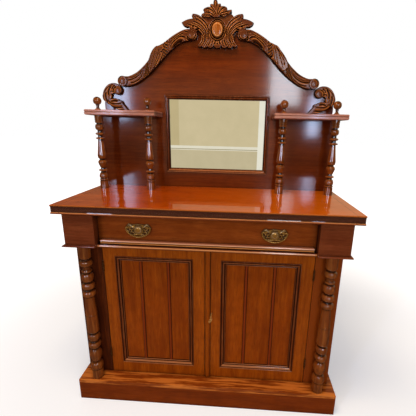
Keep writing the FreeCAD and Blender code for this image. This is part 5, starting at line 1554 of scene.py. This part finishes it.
@dataclass
class Mouldings:
    """Mitred lengths of moulding round the door panels and the mirror."""

    wood: bpy.types.Material
    # Painted light added to each length's tone: the bottom one, whose slope faces up, lighter, the
    # uprights darker.
    low_length_lit: float = 0.30
    upright_shaded: float = -0.45

    def length(self, name: str, ends: Array, inward: Array, section: Array, back: float,
               wear_and_light: float) -> bpy.types.Object:
        """One length, cut at 45 degrees at both ends.

        The point at section row (inset i, height h) and end e is
        (x_e + i u_e, back - h, z_e + i v_e), with (u, v) pointing into the frame.

        Args:
            name: the piece's name.
            ends: x and z of the two outer corners, in metres.
            inward: for each corner, the signs of the way into the frame.
            section: (inset, height) rows in millimetres.
            back: y that the heights are measured from.
            wear_and_light: added to the tone as painted light, more on the length whose slope faces
                up.

        Returns:
            The closed piece.
        """
        spots = ends[:, None, :] + inward[:, None, :] * section[None, :, :1] * MM
        depth = np.broadcast_to(back - section[:, 1] * MM, spots.shape[:2])
        points = np.stack([spots[..., 0], depth, spots[..., 1]], -1).reshape(-1, 3)
        count = len(section)
        even = np.arange(0, section[-1, 0], 0.25)
        height = np.interp(even, section[1:-1, 0] + np.arange(count - 2) * 1e-6, section[1:-1, 1])
        slope = np.polyval(np.polyfit(even, height, 3), even)
        tone = np.clip((height - slope) / 1.1, -1, 1)
        # Painted shadow along the inner edge, where the moulding meets the panel.
        tone[-4:] = -0.8
        line = np.clip(np.interp(section[:, 0], even, tone) + wear_and_light, -1, 1)
        return mesh_piece(name, points, tube_faces(2, count), self.wood, tone=np.tile(line, 2))

    def round_panel(self, node: str, body: str, section: Points, back: float) -> None:
        """The four lengths round one opening.

        Args:
            node: the CAD node that they stand for.
            body: the body that carries them.
            section: the cross section.
            back: y that its heights are measured from.
        """
        low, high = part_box(node)
        corners = np.array([(low.x, low.z), (high.x, low.z), (high.x, high.z), (low.x, high.z)])
        ways = np.array([(1, 1), (-1, 1), (-1, -1), (1, -1)], float)
        rows = np.array(section, float)
        # Painted light for the lengths, in the order low, right, top, left: the top is darker too.
        wear_and_light = (self.low_length_lit, self.upright_shaded, -0.3, self.upright_shaded)
        for index, place in enumerate(("low", "right", "top", "left")):
            pair = [index, (index + 1) % 4]
            piece = self.length("%s_%s" % (node, place), corners[pair], ways[pair], rows, back,
                                wear_and_light[index])
            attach(piece, body)
            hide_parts(node)

    def build(self) -> None:
        """Lays the mouldings of both doors and the mirror."""
        for side in ("left", "right"):
            node = "door_%s_moulding" % side
            self.round_panel(node, "door_" + side, PANEL_SECTION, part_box(node)[1].y)
        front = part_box("mirror_frame")[0].y
        self.round_panel("mirror_frame", "case", FRAME_SECTION, front + 8 * MM)
        LOG.info("mitred the mouldings")


# ---------------------------------------------------------------------------- brass
# A handle plate in millimetres about its middle: the right-hand half of its outline,
# then the piercings of that side as (across, up, half length, half width, lean in
# degrees), and its cuts and ridges.
PLATE_HALF: Points = (
    (0, 28), (5, 28), (10, 26.5), (15, 26.5), (19, 25.5), (24, 25), (29, 26.5), (35, 28),
    (42, 26.5), (48, 20), (52, 13), (52, 7), (49, 1), (47, -5), (42, -11), (35, -16), (26, -19),
    (13, -21.5), (0, -22))
PLATE_HOLES: Sequence[tuple[float, float, float, float, float]] = (
    (42.5, 3, 2.6, 5.0, 20), (34, -3, 3.4, 2.3, 40), (27, 8, 6.0, 1.9, 25),
    (25, -13, 7.5, 2.5, -12), (37, -11, 3.4, 2.2, -40), (23.5, -3, 1.8, 3.4, 0),
    (43, 18, 2.4, 1.6, 30),
)
# (height over the drawer front, radius) along a post, in millimetres.
POST_PROFILE: Points = ((0, 5.2), (1.5, 5.2), (3, 4.0), (5, 4.3), (8, 4.5), (10.5, 4.3), (12, 3.0),
                        (12.6, 0.6))
PLATE_CUTS: Cuts = (
    (((18, 12), (20, -4), (14, -15), (6, -18)), 2.6, 2.4),
    (((15, 16), (10, 21), (3, 23)), 2.6, 2.4),
    (((17, 8), (24, 15), (31, 21), (38, 23), (45, 19), (49, 11)), 3.2, -2.2),
    (((48, 4), (45, -5), (38, -14), (26, -18), (12, -20.5)), 2.6, -1.6),
    (((31, 17), (35, 19), (40, 16)), 2.4, 2.4),
    (((20, 20), (26, 21), (31, 24)), 2.2, 2.0),
    (((30, 2), (36, 3), (38, -5)), 2.2, -1.6),
    (((24, -8), (31, -8), (34, -14)), 2.2, -1.6),
    (((0, 27), (4, 24), (9, 24)), 2.4, -1.8),
)


@dataclass
class DrawerHandles:
    """Cast bat-wing plates with a domed boss, two posts and a swinging bail."""

    brass: bpy.types.Material
    offset: float = 278.0
    height: float = 861.0
    post_offset: float = 42.0
    post_rise: float = 14.0
    standoff: float = 7.0
    bail_drop: float = 27.0
    bail_radius: float = 2.4
    bail_overhang: float = 8.3
    bail_turn: float = 3.5

    def plate(self) -> Relief:
        """Carves one plate about its own middle, in millimetres."""
        right = smooth_path(PLATE_HALF, 110)
        outline = np.vstack([right, right[-2:0:-1] * (-1, 1)])
        turn = np.linspace(0, 2 * math.pi, 24, endpoint=False)
        holes = []
        for across, up, long_half, short_half, lean in PLATE_HOLES:
            for side in (1, -1):
                tilt = math.radians(lean * side)
                x, z = long_half * np.cos(turn), short_half * np.sin(turn)
                holes.append(np.stack([side * across + x * math.cos(tilt) + z * math.sin(tilt),
                                       up - x * math.sin(tilt) + z * math.cos(tilt)], -1))
        relief = Relief(outline, 0.6, 3.2, edge=1.4, holes=tuple(holes))
        relief.swell((0, 4), (15.5, 16), 9.5)
        for points, width, deep in PLATE_CUTS:
            relief.gouge(points, width, deep, 0.2)
            relief.gouge([(-x, z) for x, z in points], width, deep, 0.2)
        return relief

    def bail_path(self) -> Array:
        """Half oval between the posts, in millimetres about the plate's middle.

        It is (w cos a, top - d sin a) with a from 0 to 180 degrees, and a quarter
        circle at each end that turns in to the posts.
        """
        half = self.post_offset + self.bail_overhang
        top = self.post_rise - self.bail_turn
        drop = top + self.bail_drop
        angle = np.linspace(0, math.pi, 60)
        arc = np.stack([half * np.cos(angle), top - drop * np.sin(angle)], -1)
        turn = np.linspace(math.pi / 2, 0, 7)[:-1]
        corner = np.stack([half - self.bail_turn + self.bail_turn * np.cos(turn),
                           top + self.bail_turn * np.sin(turn)], -1)
        inner = np.array([[self.post_offset + 1.5, self.post_rise]])
        right = np.vstack([inner, corner])
        left = right[::-1] * (-1, 1)
        return np.vstack([right, arc, left])

    def build(self) -> None:
        """Makes both handles on the drawer."""
        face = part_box("drawer_front")[0].y
        shape = self.plate()
        path = self.bail_path()
        share = np.linspace(-1, 1, len(path))
        radius = self.bail_radius * (1 + 0.35 * np.exp(-(share / 0.10) ** 2)
                                     + 0.25 * np.exp(-((np.abs(share) - 0.84) / 0.05) ** 2)) * MM
        for side in (1, -1):
            name, middle = side_name(side), side * self.offset

            def put(x: Array, z: Array, height: Array, middle: float = middle) -> Array:
                """A point of the drawing on the drawer front."""
                return np.stack([(middle + x) * MM, face - height * MM,
                                 (self.height + z) * MM], -1)

            plate = shape.piece("handle_plate_" + name, put, self.brass, 50)
            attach(plate, "drawer")
            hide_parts("handle_plates")
            for end in (1, -1):
                self.post(name, end, middle + end * self.post_offset, face)
            bow = np.stack([(middle + path[:, 0]) * MM,
                            np.full(len(path), face - self.standoff * MM),
                            (self.height + path[:, 1]) * MM], -1)
            bail = tube("bail_%s_bow" % name, bow, radius, (0, 1, 0), self.brass)
            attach(bail, "handle_bail_" + name)
            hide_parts("bail_" + name)
        LOG.info("cast the drawer handles")

    def post(self, name: str, end: int, x: float, face: float) -> None:
        """Turns one knobbed post that carries an end of the bail.

        Args:
            name: which handle.
            end: 1 for its right-hand post, -1 for its left-hand one.
            x: the post's place across, in millimetres.
            face: y of the drawer front.
        """
        out, reach = np.array(POST_PROFILE).T * MM
        rings, sides = len(out), 20
        angle = np.linspace(0, 2 * math.pi, sides, endpoint=False)
        points = np.stack([x * MM + reach[:, None] * np.cos(angle),
                           face - np.broadcast_to(out[:, None], (rings, sides)),
                           (self.height + self.post_rise) * MM
                           + reach[:, None] * np.sin(angle)], -1)
        piece = mesh_piece("post_%s_%s" % (name, side_name(end)), points.reshape(-1, 3),
                           tube_faces(rings, sides), self.brass)
        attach(piece, "drawer")
        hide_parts("handle_plates")


# --------------------------------------------------------------------------- studio
@dataclass(frozen=True)
class Lamp:
    """A soft lamp: a square of light aimed at a point."""

    name: str
    place: tuple[float, float, float]
    aim: tuple[float, float, float]
    width: float
    tall: float
    power: float
    colour: str
    mirrored: bool = True

    def build(self, unlit: bpy.types.Collection) -> None:
        """Adds the lamp.

        Args:
            unlit: collection of the pieces that the lamp leaves alone.
        """
        data = bpy.data.lights.new(self.name, "AREA")
        data.shape = "RECTANGLE"
        data.size = self.width
        data.size_y = self.tall
        data.energy = self.power
        data.color = linear(self.colour)[:3]
        lamp = bpy.data.objects.new(self.name, data)
        bpy.context.scene.collection.objects.link(lamp)
        lamp.matrix_world = looking(self.place, self.aim)
        lamp.visible_glossy = self.mirrored
        lamp.light_linking.receiver_collection = unlit


def looking(place: Sequence[float], aim: Sequence[float]) -> Matrix:
    """Matrix of a lamp at a place, its -Z axis towards a point."""
    turn = (Vector(aim) - Vector(place)).to_track_quat("-Z", "Y")
    return Matrix.Translation(place) @ turn.to_matrix().to_4x4()


# Three window panes, a lamp over the object, and two bulbs that the polish shows.
LAMPS = (
    Lamp("pane right high", (0.72, -3.0, 2.0), (0.72, 0.2, 2.0), 0.45, 0.7, 30.0, "DCE8F4"),
    Lamp("pane right low", (1.18, -3.0, 1.5), (1.18, 0.2, 1.5), 0.16, 0.6, 12.0, "C4D8FF"),
    Lamp("pane left", (-1.86, -3.0, 1.85), (-1.86, 0.2, 1.85), 0.34, 0.9, 34.0, "C4D8FF"),
    Lamp("ceiling", (-0.3, -0.8, 3.2), (0.0, -0.1, 0.8), 1.2, 0.7, 44.0, "FFE6C4", False),
    Lamp("bulb left", (-0.37, -0.6, 3.2), (-0.3, -0.3, 0.9), 0.07, 0.07, 1.6, "FFD890"),
    Lamp("bulb right", (0.08, -0.6, 3.2), (0.0, -0.3, 0.9), 0.07, 0.07, 1.6, "FFD890"),
)


@dataclass
class Studio:
    """Pale floor, soft lamps, a room for the polish and the mirror to show, and the camera."""

    floor_colour: str = "E8EFF8"
    floor_glow: float = 0.26
    polish_sees: str = "5A4636"
    room_colour: str = "DCCCA6"
    dado_colour: str = "D2C4A2"
    corner_colour: str = "CFBD92"
    rail_colour: str = "F4EEDC"
    seam_colour: str = "A89A78"
    casing_colour: str = "FAF6E8"
    room_dim: float = 0.035
    mirror_dim: float = 0.6
    wall_left: float = 0.25
    wall_right: float = 0.7
    place: tuple[float, float, float] = (0.14641, -1.30669, 1.26723)
    yaw: float = 0.0492
    pitch: float = -0.2607
    roll: float = -0.0233
    lens_mm: float = 25.253
    sensor_mm: float = 36.0
    shift_x: float = -0.0502

    def camera(self) -> None:
        """Adds the camera.

        Its axes are forward (-sin y cos p, cos y cos p, sin p), level right
        (cos y, sin y, 0) and their cross product, the last two turned by the roll.
        """
        forward = np.array([-math.sin(self.yaw) * math.cos(self.pitch),
                            math.cos(self.yaw) * math.cos(self.pitch), math.sin(self.pitch)])
        level = np.array([math.cos(self.yaw), math.sin(self.yaw), 0.0])
        above = np.cross(level, forward)
        right = math.cos(self.roll) * level - math.sin(self.roll) * above
        up = math.sin(self.roll) * level + math.cos(self.roll) * above
        data = bpy.data.cameras.new("camera")
        data.sensor_width = self.sensor_mm
        data.lens = self.lens_mm
        data.shift_x = self.shift_x
        data.clip_start = 0.05
        camera = bpy.data.objects.new("camera", data)
        bpy.context.scene.collection.objects.link(camera)
        axes = Matrix(np.stack([right, up, -forward], -1).tolist())
        camera.matrix_world = Matrix.Translation(self.place) @ axes.to_4x4()
        bpy.context.scene.camera = camera

    def floor(self) -> None:
        """Adds a pale floor that keeps the object's shadow; its glow is weaker near the object, a
        painted shade round it.
        """
        near, far, side = -5.0, 30.0, 30.0
        corners = np.array([[-side, near, 0], [side, near, 0], [side, far, 0], [-side, far, 0]])
        material, tree = empty_material("pale matt floor")
        rays = add(tree, "ShaderNodeLightPath")
        paint = add(tree, "ShaderNodeBsdfDiffuse", {}, {0: linear(self.floor_colour)})
        place = add(tree, "ShaderNodeTexCoord").outputs["Object"]
        away = add(tree, "ShaderNodeVectorMath", {0: place}, operation="LENGTH")
        # Painted shade: the glow is weakest within 0.7 m of the middle and full beyond 3 m, greying
        # the floor round the object.
        strength = add(tree, "ShaderNodeMapRange", {0: away.outputs["Value"]},
                       {1: 0.7, 2: 3.0, 3: self.floor_glow, 4: 0.95},
                       interpolation_type="SMOOTHSTEP")
        glow = add(tree, "ShaderNodeEmission", {1: strength.outputs[0]}, {0: linear("FFFFFF")})
        both = add(tree, "ShaderNodeAddShader", {0: paint.outputs[0], 1: glow.outputs[0]})
        # Seen in the polish, the floor is a darker brown-grey.
        wear_and_light = add(tree, "ShaderNodeBsdfDiffuse", {}, {0: linear(self.polish_sees)})
        bounced = add(tree, "ShaderNodeMixShader",
                      {0: rays.outputs["Is Glossy Ray"], 1: paint.outputs[0], 2: wear_and_light.outputs[0]})
        plainly = add(tree, "ShaderNodeMath", {0: rays.outputs["Is Camera Ray"],
                                               1: rays.outputs["Is Singular Ray"]},
                      operation="MAXIMUM")
        shown = add(tree, "ShaderNodeMixShader",
                    {0: plainly.outputs[0], 1: bounced.outputs[0], 2: both.outputs[0]})
        add(tree, "ShaderNodeOutputMaterial", {0: shown.outputs[0]})
        ground = bpy.data.meshes.new("floor")
        ground.from_pydata((corners - (0, 0, 0.0005)).tolist(), [], [(0, 1, 2, 3)])
        ground.materials.append(material)
        made = bpy.data.objects.new("floor", ground)
        bpy.context.scene.collection.objects.link(made)

    def room(self) -> None:
        """Sets the world: white for the camera, soft grey light, a room for reflections.

        A reflected ray of direction (x, y, z) meets a wall in front of the mirror at
        (x / -y, z / -y). Each line of the table paints what is under an edge, or a band
        of some half width, of one of the two: the corner, the dado, its rail and seam,
        and a white casing. Away from there the room is dimmer, less so in the glass.
        """
        world = bpy.data.worlds.new("room")
        bpy.context.scene.world = world
        world.use_nodes = True
        tree = world.node_tree
        tree.nodes.clear()
        rays = add(tree, "ShaderNodeLightPath")
        way = add(tree, "ShaderNodeTexCoord").outputs["Generated"]
        parts = add(tree, "ShaderNodeSeparateXYZ", {0: way})
        ahead = add(tree, "ShaderNodeMath", {0: parts.outputs[1]}, {1: -1.0}, operation="MULTIPLY")
        deep = add(tree, "ShaderNodeMath", {0: ahead.outputs[0]}, {1: 0.05}, operation="MAXIMUM")
        rise = add(tree, "ShaderNodeMath", {0: parts.outputs[2], 1: deep.outputs[0]},
                   operation="DIVIDE").outputs[0]
        side = add(tree, "ShaderNodeMath", {0: parts.outputs[0], 1: deep.outputs[0]},
                   operation="DIVIDE").outputs[0]

        wall = None
        for source, edge, half, colour in ((side, -0.222, 0.0, self.corner_colour),
                                           (rise, -0.0690, 0.0, self.dado_colour),
                                           (rise, -0.0605, 0.0070, self.rail_colour),
                                           (rise, -0.0640, 0.0012, self.seam_colour),
                                           (side, 0.068, 0.026, self.casing_colour)):
            where = add(tree, "ShaderNodeMath", {0: source}, {1: edge, 2: half},
                        operation="COMPARE" if half else "LESS_THAN")
            below = {} if wall is None else {6: wall}
            wall = add(tree, "ShaderNodeMix", {0: where.outputs[0], **below},
                       {6: linear(self.room_colour), 7: linear(colour)},
                       data_type="RGBA").outputs[2]
        level = None
        for source, dark, bright in ((rise, 0.20, 0.125), (rise, -0.21, -0.155),
                                     (side, 0.16, 0.10), (side, -0.38, -0.30)):
            part = add(tree, "ShaderNodeMapRange", {0: source},
                       {1: dark, 2: bright, 3: 0.0, 4: 1.0}).outputs[0]
            if level is not None:
                part = add(tree, "ShaderNodeMath", {0: level, 1: part},
                           operation="MULTIPLY").outputs[0]
            level = part
        level = add(tree, "ShaderNodeMath", {0: level}, {1: self.room_dim},
                    operation="MAXIMUM").outputs[0]
        wall_side = add(tree, "ShaderNodeMapRange", {0: parts.outputs[0]},
                        {1: -0.3, 2: 0.5, 3: self.wall_left, 4: self.wall_right}).outputs[0]
        behind = add(tree, "ShaderNodeMapRange", {0: parts.outputs[1]},
                     {1: 0.0, 2: 0.3, 3: 0.0, 4: 1.0}).outputs[0]
        behind = add(tree, "ShaderNodeMath", {0: behind, 1: wall_side},
                     operation="MULTIPLY").outputs[0]
        level = add(tree, "ShaderNodeMath", {0: level, 1: behind}, operation="MAXIMUM").outputs[0]
        glass = add(tree, "ShaderNodeMath", {0: rays.outputs["Is Singular Ray"]},
                    {1: self.mirror_dim}, operation="MULTIPLY").outputs[0]
        level = add(tree, "ShaderNodeMath", {0: level, 1: glass}, operation="MAXIMUM").outputs[0]
        light = add(tree, "ShaderNodeBackground", {}, {0: linear("FFEADA"), 1: 0.39})
        seen = add(tree, "ShaderNodeBackground", {}, {0: linear("FFFFFF"), 1: 1.0})
        shown = add(tree, "ShaderNodeBackground", {0: wall, 1: level})
        mirrored = add(tree, "ShaderNodeMixShader",
                       {0: rays.outputs["Is Glossy Ray"], 1: light.outputs[0],
                        2: shown.outputs[0]})
        final = add(tree, "ShaderNodeMixShader",
                    {0: rays.outputs["Is Camera Ray"], 1: mirrored.outputs[0],
                     2: seen.outputs[0]})
        add(tree, "ShaderNodeOutputWorld", {0: final.outputs[0]})

    def build(self) -> None:
        """Sets up the whole studio."""
        self.camera()
        self.floor()
        self.room()
        unlit = bpy.data.collections.new("seen in the glass as a room")
        unlit.objects.link(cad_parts["mirror_glass"])
        unlit.collection_objects[0].light_linking.link_state = "EXCLUDE"
        for lamp in LAMPS:
            lamp.build(unlit)
        view = bpy.context.scene.view_settings
        view.view_transform = "Standard"
        LOG.info("set up the studio")


def main() -> None:
    """Builds the sub-assemblies in order."""
    logging.basicConfig(level=logging.INFO, format="%(name)s: %(message)s")
    finishes = build_finishes()
    finish_boards(finishes)
    board_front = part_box("pediment_board")[0].y
    shelf_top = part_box("gallery_shelf_right")[1].z
    Turnings(finishes[Finish.TURNED], finishes[Finish.SPINDLE]).build()
    Crest(finishes[Finish.CARVED], finishes[Finish.STONE]).build()
    ScrollWork(finishes[Finish.CARVED], board_front, shelf_top).build()
    Mouldings(finishes[Finish.MOULDING]).build()
    DrawerHandles(finishes[Finish.BRASS]).build()
    Studio().build()


if __name__ == "__main__":
    main()
